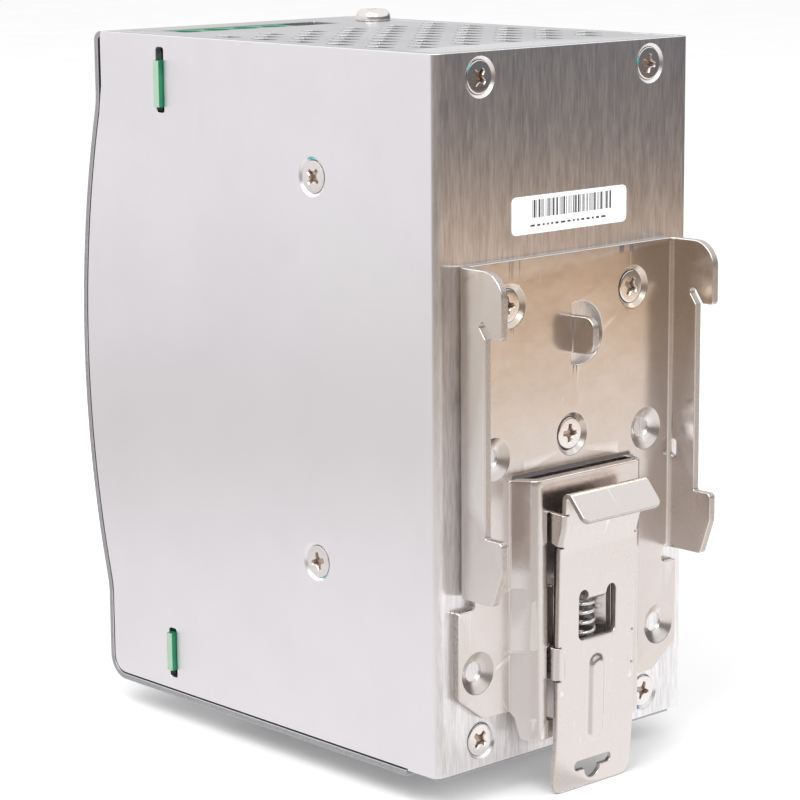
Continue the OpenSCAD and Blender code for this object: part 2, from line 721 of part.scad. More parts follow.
module output_terminal_block() color([0.20, 0.52, 0.38]) at_output() terminal_block(output_poles, output_pitch);
module input_terminal_block() color([0.20, 0.52, 0.38]) at_input() terminal_block(input_poles, input_pitch);
module output_contacts() color([0.80, 0.62, 0.35]) at_output() contact_bars(output_poles, output_pitch);
module input_contacts() color([0.80, 0.62, 0.35]) at_input() contact_bars(input_poles, input_pitch);
module output_screw(i) color([0.74, 0.73, 0.70]) at_output(i) terminal_screw();
module output_clamp(i) color([0.76, 0.75, 0.72]) at_output(i) terminal_clamp();
module input_screw(i) color([0.74, 0.73, 0.70]) at_input(i) terminal_screw();
module input_clamp(i) color([0.76, 0.75, 0.72]) at_input(i) terminal_clamp();

// ---------------------------------------------------------------- front controls

module status_led() color([0.35, 0.85, 0.45]) in_place() {
    tip_y = -93.1;
    translate([pilot_x, tip_y, led_z]) rotate([-90, 0, 0]) cylinder(h = block_rear - tip_y, r = 1.5);
    translate([pilot_x, tip_y, led_z]) sphere(r = 1.5);
    translate([pilot_x, front_board_y - 2.05, led_z]) rotate([-90, 0, 0]) cylinder(h = 2, r = 2.4);
}

module trimmer_body() color([0.16, 0.30, 0.62]) in_place() difference() {
    block([pilot_x - 4.7, -88, trimmer_z - 4.7], [pilot_x + 4.7, block_rear, trimmer_z + 4.7]);
    translate([pilot_x, -80, trimmer_z]) rotate([90, 0, 0]) cylinder(h = 10, r = 1.55);
}

module trimmer_rotor() color([0.90, 0.90, 0.88]) in_place() difference() {
    union() {
        translate([pilot_x, -88.3, trimmer_z]) rotate([90, 0, 0]) cylinder(h = 7, r = 2);
        translate([pilot_x, -81, trimmer_z]) rotate([90, 0, 0]) cylinder(h = 8, r = 1.5);
    }
    block([pilot_x - 3, -96, trimmer_z - 0.35], [pilot_x + 3, -94.3, trimmer_z + 0.35]);
}

// ---------------------------------------------------------------- circuit parts on the main board

module from_board(y, z) in_place() translate([parts_x + eps, y, z]) rotate([0, 90, 0]) children();

module mains_fuse() color([0.85, 0.85, 0.80]) in_place() translate([-18, -69, 30.9]) rotate([-90, 0, 0]) {
    cylinder(h = 5, r = 2.7);
    translate([0, 0, 5]) cylinder(h = 10, r = 2.4);
    translate([0, 0, 15]) cylinder(h = 5, r = 2.7);
    for (h = [2, 17]) translate([0, 0, h]) block([parts_x + 18 + eps, -0.4, -0.4], [-2, 0.4, 0.4]);
}

choke_at = [-58, 18];
output_choke_at = [-60, 96];

// Toroid on the board with its axis along x
winding_t = 1.3;

module toroid_core(r_in, r_out, h)
    translate([0, 0, winding_t]) rotate_extrude() translate([r_in, 0]) square([r_out - r_in, h]);

module toroid_winding(r_in, r_out, h, spans, sweep)
    for (from = spans) translate([0, 0, winding_t]) rotate([0, 0, from])
        rotate_extrude(angle = sweep) difference() {
            translate([r_in - winding_t, -winding_t]) square([r_out - r_in + 2 * winding_t, h + 2 * winding_t]);
            translate([r_in - eps, -eps]) square([r_out - r_in + 2 * eps, h + 2 * eps]);
        }

module choke_core() color([0.25, 0.35, 0.28]) from_board(choke_at.x, choke_at.y) toroid_core(4.2, 8, 7);
module choke_windings() color([0.72, 0.40, 0.18]) from_board(choke_at.x, choke_at.y)
    toroid_winding(4.2, 8, 7, [20, 200], 140);
module output_choke_core() color([0.75, 0.70, 0.25]) from_board(output_choke_at.x, output_choke_at.y)
    toroid_core(4, 8.2, 8);
module output_choke_winding() color([0.72, 0.40, 0.18]) from_board(output_choke_at.x, output_choke_at.y)
    toroid_winding(4, 8.2, 8, [15], 330);

module x_capacitor() color([0.85, 0.72, 0.20]) in_place()
    block([parts_x + eps, -44, 6], [parts_x + 16, -26, 21]);

module y_capacitors() color([0.20, 0.40, 0.70]) in_place()
    for (z = [36, 50]) translate([parts_x + 5.2, -12, z]) rotate([-90, 0, 0]) {
        cylinder(h = 3.5, r = 4);
        for (x = [-2.5, 2.5]) translate([-5.1, x, 1.75]) rotate([0, 90, 0]) cylinder(h = 3, r = 0.35);
    }

module bridge_rectifier() color([0.12, 0.12, 0.13]) in_place() {
    block([parts_x + 3, -20, 7], [parts_x + 21, -16, 23]);
    for (i = [0:3]) block([parts_x + eps, -18.4, 9 + i * 4], [parts_x + 3.5, -17.6, 10 + i * 4]);
}

pfc_low = [-69, 62];
module pfc_core() color([0.22, 0.22, 0.24]) in_place() difference() {
    block([parts_x + eps, pfc_low.x, pfc_low.y], [parts_x + 20, pfc_low.x + 20, pfc_low.y + 20]);
    for (z = [3.4, 12.4]) block([parts_x + 3.5, pfc_low.x - 1, pfc_low.y + z],
                               [parts_x + 16.5, pfc_low.x + 21, pfc_low.y + z + 4.2]);
}

module pfc_winding() color([0.72, 0.42, 0.20]) in_place() difference() {
    block([parts_x + 3.7, pfc_low.x + 0.8, pfc_low.y + 3.6], [parts_x + 16.3, pfc_low.x + 19.2, pfc_low.y + 16.4]);
    block([parts_x, pfc_low.x - 1, pfc_low.y + 7.5], [parts_x + 20, pfc_low.x + 21, pfc_low.y + 12.5]);
}

module bulk_capacitor() color([0.12, 0.13, 0.20]) from_board(-58.4, 47)
    rotate_extrude() polygon([[0, 0], [11.2, 0], [11.6, 0.6], [11.6, 2.2], [11.1, 2.9], [11.6, 3.6],
                              [11.6, 44.4], [11.0, 45], [0, 45]]);

transformer_low = [-43, 50];
module transformer_core() color([0.20, 0.20, 0.22]) in_place() difference() {
    block([parts_x + 4, transformer_low.x, transformer_low.y], [parts_x + 34, transformer_low.x + 28, transformer_low.y + 38]);
    for (z = [7, 24]) block([parts_x + 9, transformer_low.x - 1, transformer_low.y + z],
                           [parts_x + 29, transformer_low.x + 29, transformer_low.y + z + 7]);
}

module transformer_winding() color([0.88, 0.78, 0.30]) in_place() difference() {
    union() {
        block([parts_x + 9.2, transformer_low.x - 2.5, transformer_low.y + 7.2],
              [parts_x + 28.8, transformer_low.x + 30.5, transformer_low.y + 30.8]);
        block([parts_x + eps, transformer_low.x - 2.5, transformer_low.y + 9],
              [parts_x + 9.3, transformer_low.x - 0.3, transformer_low.y + 29]);
    }
    block([parts_x, transformer_low.x - eps, transformer_low.y + 13.9],
          [parts_x + 35, transformer_low.x + 28 + eps, transformer_low.y + 24.1]);
}

// Heat sinks: a foot on the right panel and a shelf that reaches in over the main board
sink_low_y = -45.5;
module heat_sink(shelf_z, foot_low, foot_high) difference() {
    union() {
        block([in_x - 3.2, sink_low_y, foot_low], [in_x - eps, sink_low_y + 29, foot_high]);
        block([parts_x + 7, sink_low_y, shelf_z], [in_x - 3, sink_low_y + 29, shelf_z + 2.5]);
    }
    facing_right(body_w / 2, side_screw_y, (foot_low + foot_high) / 2)
        translate([0, 0, -8]) cylinder(h = 9, r = shank_r + eps);
}

module lower_heat_sink() color([0.74, 0.75, 0.77]) in_place() heat_sink(25.9, 25.9, 2 * side_screw_z[0] - 25.9);
module upper_heat_sink() color([0.74, 0.75, 0.77]) in_place()
    heat_sink(107.1, 2 * side_screw_z[1] - 109.6, 109.6);

// Power devices lie on the shelves, each with three legs into the main board
module power_device(y, z) {
    block([parts_x + 8, y, z], [parts_x + 24, y + 12, z + 4.5]);
    for (i = [0:2]) block([parts_x + eps, y + 2.5 + i * 3, z + 1.8], [parts_x + 8.5, y + 3.5 + i * 3, z + 2.4]);
}

module switching_transistors() color([0.12, 0.12, 0.13]) in_place()
    for (y = [-44.5, -30]) power_device(y, 28.8);

module output_rectifiers() color([0.12, 0.12, 0.13]) in_place()
    for (y = [-44.5, -30]) power_device(y, 102.2);

module insulating_pads() color([0.70, 0.66, 0.80]) in_place()
    for (y = [-45, -30.5], z = [28.45, 106.75])
        block([parts_x + 7.5, y, z], [parts_x + 24.5, y + 13, z + 0.3]);

module output_capacitors() color([0.10, 0.30, 0.25])
    for (p = [[-65, 115.2], [-53.6, 115.2], [-39, 115.6], [-27.6, 115.6]]) from_board(p.x, p.y)
        rotate_extrude() polygon([[0, 0], [4.9, 0], [5, 1.6], [4.7, 2], [5, 2.4], [5, 21.6], [4.6, 22], [0, 22]]);

module control_board() color([0.13, 0.45, 0.33]) in_place()
    block([parts_x + eps, -12.6, 94], [parts_x + 22, -11, 118]);

module control_chips() color([0.10, 0.10, 0.11]) in_place() for (z = [98, 109])
    block([parts_x + 6, -11 + eps, z], [parts_x + 16, -9.2, z + 5]);

// ---------------------------------------------------------------- assembly

chassis();
front_cover();
din_bracket();
release_clip();
clip_spring();
rear_screws();
bracket_screws();
side_screws();
board_screws();
top_screw();
serial_label();
front_board();
front_board_bracket();
main_board();
insulating_sheet();
board_standoffs();
output_terminal_block();
output_contacts();
input_terminal_block();
input_contacts();
status_led();
trimmer_body();
trimmer_rotor();
mains_fuse();
choke_core();
choke_windings();
x_capacitor();
y_capacitors();
bridge_rectifier();
pfc_core();
pfc_winding();
bulk_capacitor();
transformer_core();
transformer_winding();
switching_transistors();
output_rectifiers();
insulating_pads();
lower_heat_sink();
upper_heat_sink();
output_choke_core();
output_choke_winding();
output_capacitors();
control_board();
control_chips();
for (i = [1:output_poles]) {
    output_screw(i);
    output_clamp(i);
}
for (i = [1:input_poles]) {
    input_screw(i);
    input_clamp(i);
}
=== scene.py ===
import math
import random

import bmesh
import bpy
from mathutils import Matrix, Vector
from mathutils.geometry import delaunay_2d_cdt


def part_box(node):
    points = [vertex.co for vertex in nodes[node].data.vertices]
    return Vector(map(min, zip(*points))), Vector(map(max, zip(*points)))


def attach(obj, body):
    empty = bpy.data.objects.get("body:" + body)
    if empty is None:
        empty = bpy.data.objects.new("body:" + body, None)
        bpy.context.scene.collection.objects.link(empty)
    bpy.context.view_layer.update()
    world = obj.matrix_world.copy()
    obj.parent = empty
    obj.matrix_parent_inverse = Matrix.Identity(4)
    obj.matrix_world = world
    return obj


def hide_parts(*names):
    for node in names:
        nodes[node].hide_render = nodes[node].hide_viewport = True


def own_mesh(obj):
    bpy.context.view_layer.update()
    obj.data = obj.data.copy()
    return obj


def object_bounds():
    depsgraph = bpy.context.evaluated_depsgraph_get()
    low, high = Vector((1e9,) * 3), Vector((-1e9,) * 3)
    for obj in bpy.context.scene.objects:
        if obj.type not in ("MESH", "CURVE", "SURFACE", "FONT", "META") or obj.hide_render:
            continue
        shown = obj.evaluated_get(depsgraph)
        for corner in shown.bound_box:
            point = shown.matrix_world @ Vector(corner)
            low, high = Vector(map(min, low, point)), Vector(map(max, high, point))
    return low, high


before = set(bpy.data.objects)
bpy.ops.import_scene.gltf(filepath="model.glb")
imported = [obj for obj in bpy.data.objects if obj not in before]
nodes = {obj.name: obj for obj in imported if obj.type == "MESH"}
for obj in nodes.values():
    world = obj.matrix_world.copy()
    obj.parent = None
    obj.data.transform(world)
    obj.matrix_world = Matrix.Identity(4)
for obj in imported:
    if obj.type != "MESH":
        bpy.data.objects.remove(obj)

cad_low, cad_high = [tuple(c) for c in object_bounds()]
scene = bpy.context.scene
MM = 0.001
ROUND = 0.12  # mm, the edge radius of small blocks and of the CAD pieces kept

# The casing's own frame, in mm: x centred, y = 0 on the rear panel, z = 0 at the panels' lower edge
case_low, case_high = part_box("chassis")
REAR = case_high.y
FOOT = case_low.z
HALF = case_high.x / MM
TALL = (case_high.z - case_low.z) / MM


def at(x, y, z):
    return Vector((x * MM, REAR + y * MM, FOOT + z * MM))


# ---------------------------------------------------------------- materials

def new_material(name):
    m = bpy.data.materials.new(name)
    m.use_nodes = True
    return m, m.node_tree.nodes, m.node_tree.links, m.node_tree.nodes["Principled BSDF"]


def coords(n, l, scale):
    tc = n.new("ShaderNodeTexCoord")
    mp = n.new("ShaderNodeMapping")
    l.new(tc.outputs["Object"], mp.inputs["Vector"])
    mp.inputs["Scale"].default_value = scale
    return mp.outputs["Vector"]


def axis_of(n, l, node, output, axis):
    sep = n.new("ShaderNodeSeparateXYZ")
    l.new(n.new(node).outputs[output], sep.inputs[0])
    return sep.outputs[axis]


def noise(n, l, scale, detail=2.0, rough=0.5, stretch=(1, 1, 1)):
    t = n.new("ShaderNodeTexNoise")
    t.inputs["Scale"].default_value = 1.0
    t.inputs["Detail"].default_value = detail
    t.inputs["Roughness"].default_value = rough
    l.new(coords(n, l, tuple(scale * 1000 * s for s in stretch)), t.inputs["Vector"])
    return t.outputs["Fac"]


def ramp(n, l, fac, low, high, a, b):
    r = n.new("ShaderNodeMapRange")
    r.clamp = True
    l.new(fac, r.inputs["Value"])
    r.inputs["From Min"].default_value = low
    r.inputs["From Max"].default_value = high
    r.inputs["To Min"].default_value = a
    r.inputs["To Max"].default_value = b
    return r.outputs["Result"]


def mix(n, l, fac, a, b):
    m = n.new("ShaderNodeMix")
    m.data_type = "RGBA"
    if hasattr(fac, "is_output"):
        l.new(fac, m.inputs["Factor"])
    else:
        m.inputs["Factor"].default_value = fac
    for key, v in (("A", a), ("B", b)):
        sock = [s for s in m.inputs if s.name == key and s.type == "RGBA"][0]
        if hasattr(v, "is_output"):
            l.new(v, sock)
        else:
            sock.default_value = (*v, 1)
    return [s for s in m.outputs if s.type == "RGBA"][0]


def add(n, l, a, b, op="ADD"):
    m = n.new("ShaderNodeMath")
    m.operation = op
    for i, v in enumerate((a, b)):
        if hasattr(v, "is_output"):
            l.new(v, m.inputs[i])
        else:
            m.inputs[i].default_value = v
    return m.outputs[0]


def bump(n, l, b, height, distance, strength=1.0, after=None):
    t = n.new("ShaderNodeBump")
    t.inputs["Strength"].default_value = strength
    t.inputs["Distance"].default_value = distance * MM
    l.new(height, t.inputs["Height"])
    if after is not None:
        l.new(after, t.inputs["Normal"])
    if b is not None:
        l.new(t.outputs["Normal"], b.inputs["Normal"])
    return t.outputs["Normal"]


def worn(n, l, colour, bright, amount):
    """Edges lightly rubbed: the pointed places of the mesh turn a little brighter."""
    g = n.new("ShaderNodeNewGeometry")
    edge = ramp(n, l, g.outputs["Pointiness"], 0.505, 0.56, 0.0, amount)
    return mix(n, l, edge, colour, bright)


def metal(name, dark, light, rough, stretch, grain, depth, edge=(0.95, 0.94, 0.92)):
    m, n, l, b = new_material(name)
    spread = 0.03
    fine = noise(n, l, grain, 3.0, 0.6, stretch)
    broad = noise(n, l, 0.05, 2.0, 0.5)
    c = mix(n, l, ramp(n, l, broad, 0.35, 0.65, 0.0, 1.0), dark, light)
    c = mix(n, l, ramp(n, l, fine, 0.3, 0.7, 0.0, 0.35), c, tuple(0.9 * v for v in dark))
    c = worn(n, l, c, edge, 0.4)
    l.new(c, b.inputs["Base Color"])
    b.inputs["Metallic"].default_value = 1.0
    r = add(n, l, ramp(n, l, fine, 0.3, 0.7, rough - spread, rough + spread),
            ramp(n, l, broad, 0.3, 0.7, -spread, spread))
    l.new(r, b.inputs["Roughness"])
    bump(n, l, b, fine, depth)
    return m


def plastic(name, colour, rough, grain=14.0, depth=0.01, coat=0.0, through=0.0):
    m, n, l, b = new_material(name)
    vary = 0.12
    broad = noise(n, l, 0.12, 3.0)
    fine = noise(n, l, grain, 3.0)
    dark = tuple(v * (1 - vary) for v in colour)
    light = tuple(min(1.0, v * (1 + vary)) for v in colour)
    c = mix(n, l, ramp(n, l, broad, 0.35, 0.65, 0.0, 1.0), dark, light)
    c = worn(n, l, c, tuple(min(1.0, v * 1.25 + 0.03) for v in colour), 0.5)
    l.new(c, b.inputs["Base Color"])
    l.new(ramp(n, l, fine, 0.3, 0.7, rough - 0.06, rough + 0.06), b.inputs["Roughness"])
    b.inputs["Coat Weight"].default_value = coat
    b.inputs["Transmission Weight"].default_value = through
    bump(n, l, b, fine, depth)
    return m


def sheet_metal_rear():
    """Brushed sheet, vertical grain: streaks that differ in shade and in how sharply they reflect."""
    m, n, l, b = new_material("brushed_sheet")
    fine = noise(n, l, 2.6, 3.0, 0.6, (1, 1, 0.10))
    broad = noise(n, l, 0.9, 3.0, 0.55, (1, 1, 0.09))
    clouds = noise(n, l, 0.05, 2.0)
    # Picked by which way a face points: the rear shows the grain's streaks, and the sides get a lighter
    # lilac-grey, painted light standing in for the bright surround they reflect.
    across = axis_of(n, l, "ShaderNodeNewGeometry", "Normal", "Y")
    facing = ramp(n, l, add(n, l, across, 0.0, "ABSOLUTE"), 0.5, 0.95, 0.0, 1.0)
    side = mix(n, l, ramp(n, l, clouds, 0.35, 0.65, 0.0, 1.0), (0.93, 0.905, 0.93), (0.96, 0.935, 0.96))
    rear = mix(n, l, ramp(n, l, add(n, l, add(n, l, fine, 0.6, "MULTIPLY"),
                                    add(n, l, broad, 0.4, "MULTIPLY")), 0.38, 0.62, 0.0, 1.0),
               (0.72, 0.71, 0.725), (0.985, 0.975, 0.985))
    c = mix(n, l, facing, side, rear)
    c = worn(n, l, c, (0.95, 0.95, 0.95), 0.35)
    l.new(c, b.inputs["Base Color"])
    b.inputs["Metallic"].default_value = 1.0
    b.inputs["Anisotropic"].default_value = 0.85
    t = n.new("ShaderNodeTangent")
    t.direction_type = "RADIAL"
    t.axis = "Z"
    l.new(t.outputs["Tangent"], b.inputs["Tangent"])
    l.new(ramp(n, l, fine, 0.3, 0.7, 0.28, 0.36), b.inputs["Roughness"])
    h = add(n, l, fine, ramp(n, l, facing, 0, 1, 0.15, 1.0), "MULTIPLY")
    bump(n, l, b, h, 0.004)
    return m


def plated(name, low_colour, painted_reflection_colour, rough, z0, z1):
    """Nickel-plated sheet: colour shifts warmer towards z1 as a painted reflection, fine orange-peel grain,
    small rub marks.
    """
    m, n, l, b = new_material(name)
    z = axis_of(n, l, "ShaderNodeTexCoord", "Object", "Z")
    clouds = noise(n, l, 0.07, 3.0, 0.55)
    # Painted reflection: the colour shift along z stands in for the surround reflected in the plate; the
    # clouds add random tone.
    height = add(n, l, ramp(n, l, z, z0, z1, 0.0, 1.0),
                 ramp(n, l, clouds, 0.3, 0.7, -0.35, 0.35))
    c = mix(n, l, ramp(n, l, height, 0.0, 1.0, 0.0, 1.0), low_colour, painted_reflection_colour)
    fine = noise(n, l, 2.4, 4.0, 0.7)
    c = mix(n, l, ramp(n, l, fine, 0.45, 0.72, 0.0, 0.10), c, tuple(0.82 * v for v in low_colour))
    rub = noise(n, l, 0.9, 4.0, 0.7, (1, 1, 0.25))
    c = mix(n, l, ramp(n, l, rub, 0.62, 0.72, 0.0, 0.18), c, (0.93, 0.92, 0.90))
    c = worn(n, l, c, (0.97, 0.96, 0.94), 0.5)
    l.new(c, b.inputs["Base Color"])
    b.inputs["Metallic"].default_value = 1.0
    l.new(add(n, l, ramp(n, l, fine, 0.3, 0.7, rough - 0.03, rough + 0.05),
              ramp(n, l, clouds, 0.3, 0.7, -0.03, 0.03)), b.inputs["Roughness"])
    first = bump(n, l, None, fine, 0.0025)
    bump(n, l, b, clouds, 0.12, 1.0, first)
    return m


M = {
    "chassis": sheet_metal_rear(),
    "cover": metal("satin_sheet", (0.53, 0.53, 0.54), (0.59, 0.59, 0.60), 0.36, (1, 0.06, 0.06), 3.0, 0.004),
    # The bracket's and the clip's colour shift along z is a painted reflection.
    "bracket": plated("plated_steel", (0.705, 0.655, 0.632), (0.695, 0.605, 0.52), 0.21, -0.012, 0.022),
    "clip": plated("plated_spring_steel", (0.75, 0.703, 0.68), (0.76, 0.712, 0.684), 0.24, -0.05, 0.0),
    "wire": metal("drawn_wire", (0.72, 0.72, 0.74), (0.82, 0.82, 0.84), 0.16, (1, 1, 1), 6.0, 0.003),
    "screw": metal("nickel_screw", (0.76, 0.72, 0.70), (0.84, 0.80, 0.78), 0.14, (1, 1, 1), 2.0, 0.006),
    # The recess material's darker brown is painted shade inside the cross recess.
    "recess": metal("screw_recess_painted_shade", (0.42, 0.34, 0.29), (0.60, 0.50, 0.44), 0.30, (1, 1, 1), 5.0, 0.01,
                    edge=(0.70, 0.62, 0.56)),
    "zinc": metal("zinc_plate", (0.66, 0.67, 0.70), (0.74, 0.75, 0.78), 0.35, (1, 1, 1), 2.0, 0.006),
    "sink": metal("extruded_sink", (0.66, 0.67, 0.69), (0.74, 0.75, 0.77), 0.38, (1, 0.05, 1), 3.0, 0.01),
    "brass": metal("turned_brass", (0.72, 0.58, 0.30), (0.80, 0.66, 0.38), 0.25, (1, 1, 1), 4.0, 0.004),
    "copper": metal("wound_copper", (0.62, 0.30, 0.12), (0.75, 0.40, 0.20), 0.28, (1, 6, 6), 0.5, 0.2),
    "terminal": plastic("moulded_green", (0.030, 0.22, 0.115), 0.42),
    "led": plastic("green_lens", (0.10, 0.62, 0.20), 0.12, coat=0.5, through=0.4),
    "blue": plastic("moulded_blue", (0.03, 0.08, 0.32), 0.35),
    "white": plastic("moulded_white", (0.80, 0.80, 0.76), 0.40),
    "ceramic": plastic("fuse_tube", (0.75, 0.75, 0.68), 0.25, coat=0.3),
    "ferrite": plastic("sintered_ferrite", (0.035, 0.035, 0.04), 0.55, 4.0, 0.05),
    "powder": plastic("coated_core", (0.55, 0.48, 0.06), 0.50, 3.0, 0.06),
    "film": plastic("capacitor_box", (0.65, 0.45, 0.05), 0.35),
    "disc": plastic("dipped_disc", (0.03, 0.12, 0.42), 0.25, 2.0, 0.1, coat=0.4),
    "epoxy": plastic("moulded_epoxy", (0.012, 0.012, 0.014), 0.55, 8.0, 0.03),
    "sleeve": plastic("shrunk_sleeve", (0.012, 0.014, 0.035), 0.22, 1.0, 0.05, coat=0.3),
    "tape": plastic("wound_tape", (0.62, 0.50, 0.10), 0.40, 1.2, 0.1),
    "pad": plastic("silicone_pad", (0.42, 0.38, 0.55), 0.65, 4.0, 0.03),
    "film_sheet": plastic("insulating_film", (0.80, 0.80, 0.70), 0.35, 3.0, 0.02),
}


def board_material():
    m, n, l, b = new_material("board_mask")
    weave = n.new("ShaderNodeTexWave")
    weave.inputs["Scale"].default_value = 1.0
    weave.inputs["Distortion"].default_value = 1.5
    l.new(coords(n, l, (900, 900, 900)), weave.inputs["Vector"])
    blotch = noise(n, l, 0.2, 3.0)
    c = mix(n, l, ramp(n, l, blotch, 0.35, 0.65, 0, 1), (0.012, 0.155, 0.080), (0.022, 0.215, 0.110))
    # Cut edges show the paler glass-epoxy core
    across = axis_of(n, l, "ShaderNodeNewGeometry", "Normal", "X")
    cut = ramp(n, l, add(n, l, across, 0.0, "ABSOLUTE"), 0.6, 0.9, 0.0, 1.0)
    grain = noise(n, l, 6.0, 3.0, 0.6, (1, 3, 1))
    core = mix(n, l, ramp(n, l, grain, 0.3, 0.7, 0, 1), (0.26, 0.38, 0.29), (0.36, 0.50, 0.38))
    c = mix(n, l, cut, c, core)
    l.new(c, b.inputs["Base Color"])
    l.new(ramp(n, l, blotch, 0.3, 0.7, 0.30, 0.42), b.inputs["Roughness"])
    bump(n, l, b, weave.outputs["Fac"], 0.004)
    return m


def label_material(name, colour):
    m, n, l, b = new_material(name)
    fibre = noise(n, l, 8.0, 4.0, 0.6)
    c = mix(n, l, ramp(n, l, fibre, 0.3, 0.7, 0, 1), tuple(0.95 * v for v in colour), colour)
    l.new(c, b.inputs["Base Color"])
    l.new(ramp(n, l, fibre, 0.3, 0.7, 0.42, 0.55), b.inputs["Roughness"])
    bump(n, l, b, fibre, 0.003)
    return m


def cut_edge(name, colour, rough):
    """Sheared edge of a sheet: coarse, rougher and duller than its faces."""
    m, n, l, b = new_material(name)
    coarse = noise(n, l, 2.6, 3.0, 0.65)
    l.new(mix(n, l, ramp(n, l, coarse, 0.35, 0.65, 0, 1), tuple(0.72 * v for v in colour), colour),
          b.inputs["Base Color"])
    b.inputs["Metallic"].default_value = 1.0
    l.new(ramp(n, l, coarse, 0.3, 0.7, rough - 0.08, rough + 0.1), b.inputs["Roughness"])
    bump(n, l, b, coarse, 0.03)
    return m


M["cut_plate"] = cut_edge("plated_cut_edge", (0.66, 0.60, 0.56), 0.42)
M["cut_sheet"] = cut_edge("sheet_cut_edge", (0.50, 0.50, 0.52), 0.45)
M["board"] = board_material()
M["label"] = label_material("label_film", (0.90, 0.90, 0.90))
M["ink"] = label_material("label_ink", (0.05, 0.05, 0.055))
M["lock_teal"] = plastic("thread_lock_teal", (0.02, 0.30, 0.28), 0.25, 2.0, 0.05, coat=0.4)
M["lock_blue"] = plastic("thread_lock_blue", (0.01, 0.18, 0.50), 0.25, 2.0, 0.05, coat=0.4)


# ---------------------------------------------------------------- sheet metal in code

def arc(cx, cy, r, a0, a1, n):
    return [(cx + r * math.cos(math.radians(a0 + (a1 - a0) * i / n)),
             cy + r * math.sin(math.radians(a0 + (a1 - a0) * i / n))) for i in range(n + 1)]


def circle(cx, cy, r, n=32):
    return arc(cx, cy, r, 0, 360 * (n - 1) / n, n - 1)


def area(loop):
    return 0.5 * sum(a[0] * b[1] - b[0] * a[1] for a, b in zip(loop, loop[1:] + loop[:1]))


def facing(loop, sign):
    return loop if area(loop) * sign > 0 else loop[::-1]


def fillet(p, q, s, r, least, steps):
    """The corner at q between p and s, rounded to radius r in steps(turn) steps, or left sharp."""
    p, q, s = Vector(p), Vector(q), Vector(s)
    a, b = (p - q).normalized(), (s - q).normalized()
    turn = math.pi - a.angle(b)
    if r <= 0 or turn < least:
        return [tuple(q)]
    centre = q + (a + b).normalized() * (r / math.cos(turn / 2))
    start = q + a * (r * math.tan(turn / 2)) - centre
    sign = 1 if a.x * b.y - a.y * b.x < 0 else -1
    count = steps(turn)
    out = []
    for k in range(count + 1):
        t = sign * turn * k / count
        out.append((centre.x + start.x * math.cos(t) - start.y * math.sin(t),
                    centre.y + start.x * math.sin(t) + start.y * math.cos(t)))
    return out


def rounded(points, radii, n=4):
    """Closed loop with its corners rounded. radii is one number or one for each point."""
    if not hasattr(radii, "__len__"):
        radii = [radii] * len(points)
    out = []
    for i, r in enumerate(radii):
        out += fillet(points[i - 1], points[i], points[(i + 1) % len(points)], r, 0.03, lambda turn: n)
    return out


def inset(loop, d):
    out = []
    for i, q in enumerate(loop):
        p, s = loop[i - 1], loop[(i + 1) % len(loop)]
        a = Vector((q[0] - p[0], q[1] - p[1]))
        b = Vector((s[0] - q[0], s[1] - q[1]))
        a = a.normalized() if a.length > 1e-9 else b.normalized()
        b = b.normalized() if b.length > 1e-9 else a
        na, nb = Vector((-a.y, a.x)), Vector((-b.y, b.x))
        step = (na + nb) * (d / max(0.35, 1 + na.dot(nb)))
        out.append((q[0] + step.x, q[1] + step.y))
    return out


def edges_round(t, e):
    """Both edges of a cut, rounded: how far in from the outline, and how high in the sheet."""
    steps = [math.radians(a) for a in (0, 30, 60, 90)]
    top = [(e * (1 - math.sin(a)), t - e * (1 - math.cos(a))) for a in steps]
    return top + [(d, t - w) for d, w in top[::-1]]


def edges_cone(t, e, narrow, wall):
    """A countersink: a rounded rim, a cone that narrows by `narrow`, and a straight wall."""
    return [(e * 1.2, t), (e * 0.5, t - 0.06 * e), (0, t - 0.35 * e), (-narrow * 0.5, t - (t - wall) * 0.52),
            (-narrow, wall), (-narrow, 0)]


def tube(bm, rings):
    """Bands of faces between closed rings that have equally many points."""
    return [[bm.faces.new((a[i], b[i], b[(i + 1) % len(a)], a[(i + 1) % len(a)])) for i in range(len(a))]
            for a, b in zip(rings, rings[1:])]


def inside(x, y, loops):
    odd = False
    for loop in loops:
        for (ax, ay), (bx, by) in zip(loop, loop[1:] + loop[:1]):
            if (ay > y) != (by > y) and x < (bx - ax) * (y - ay) / (by - ay) + ax:
                odd = not odd
    return odd


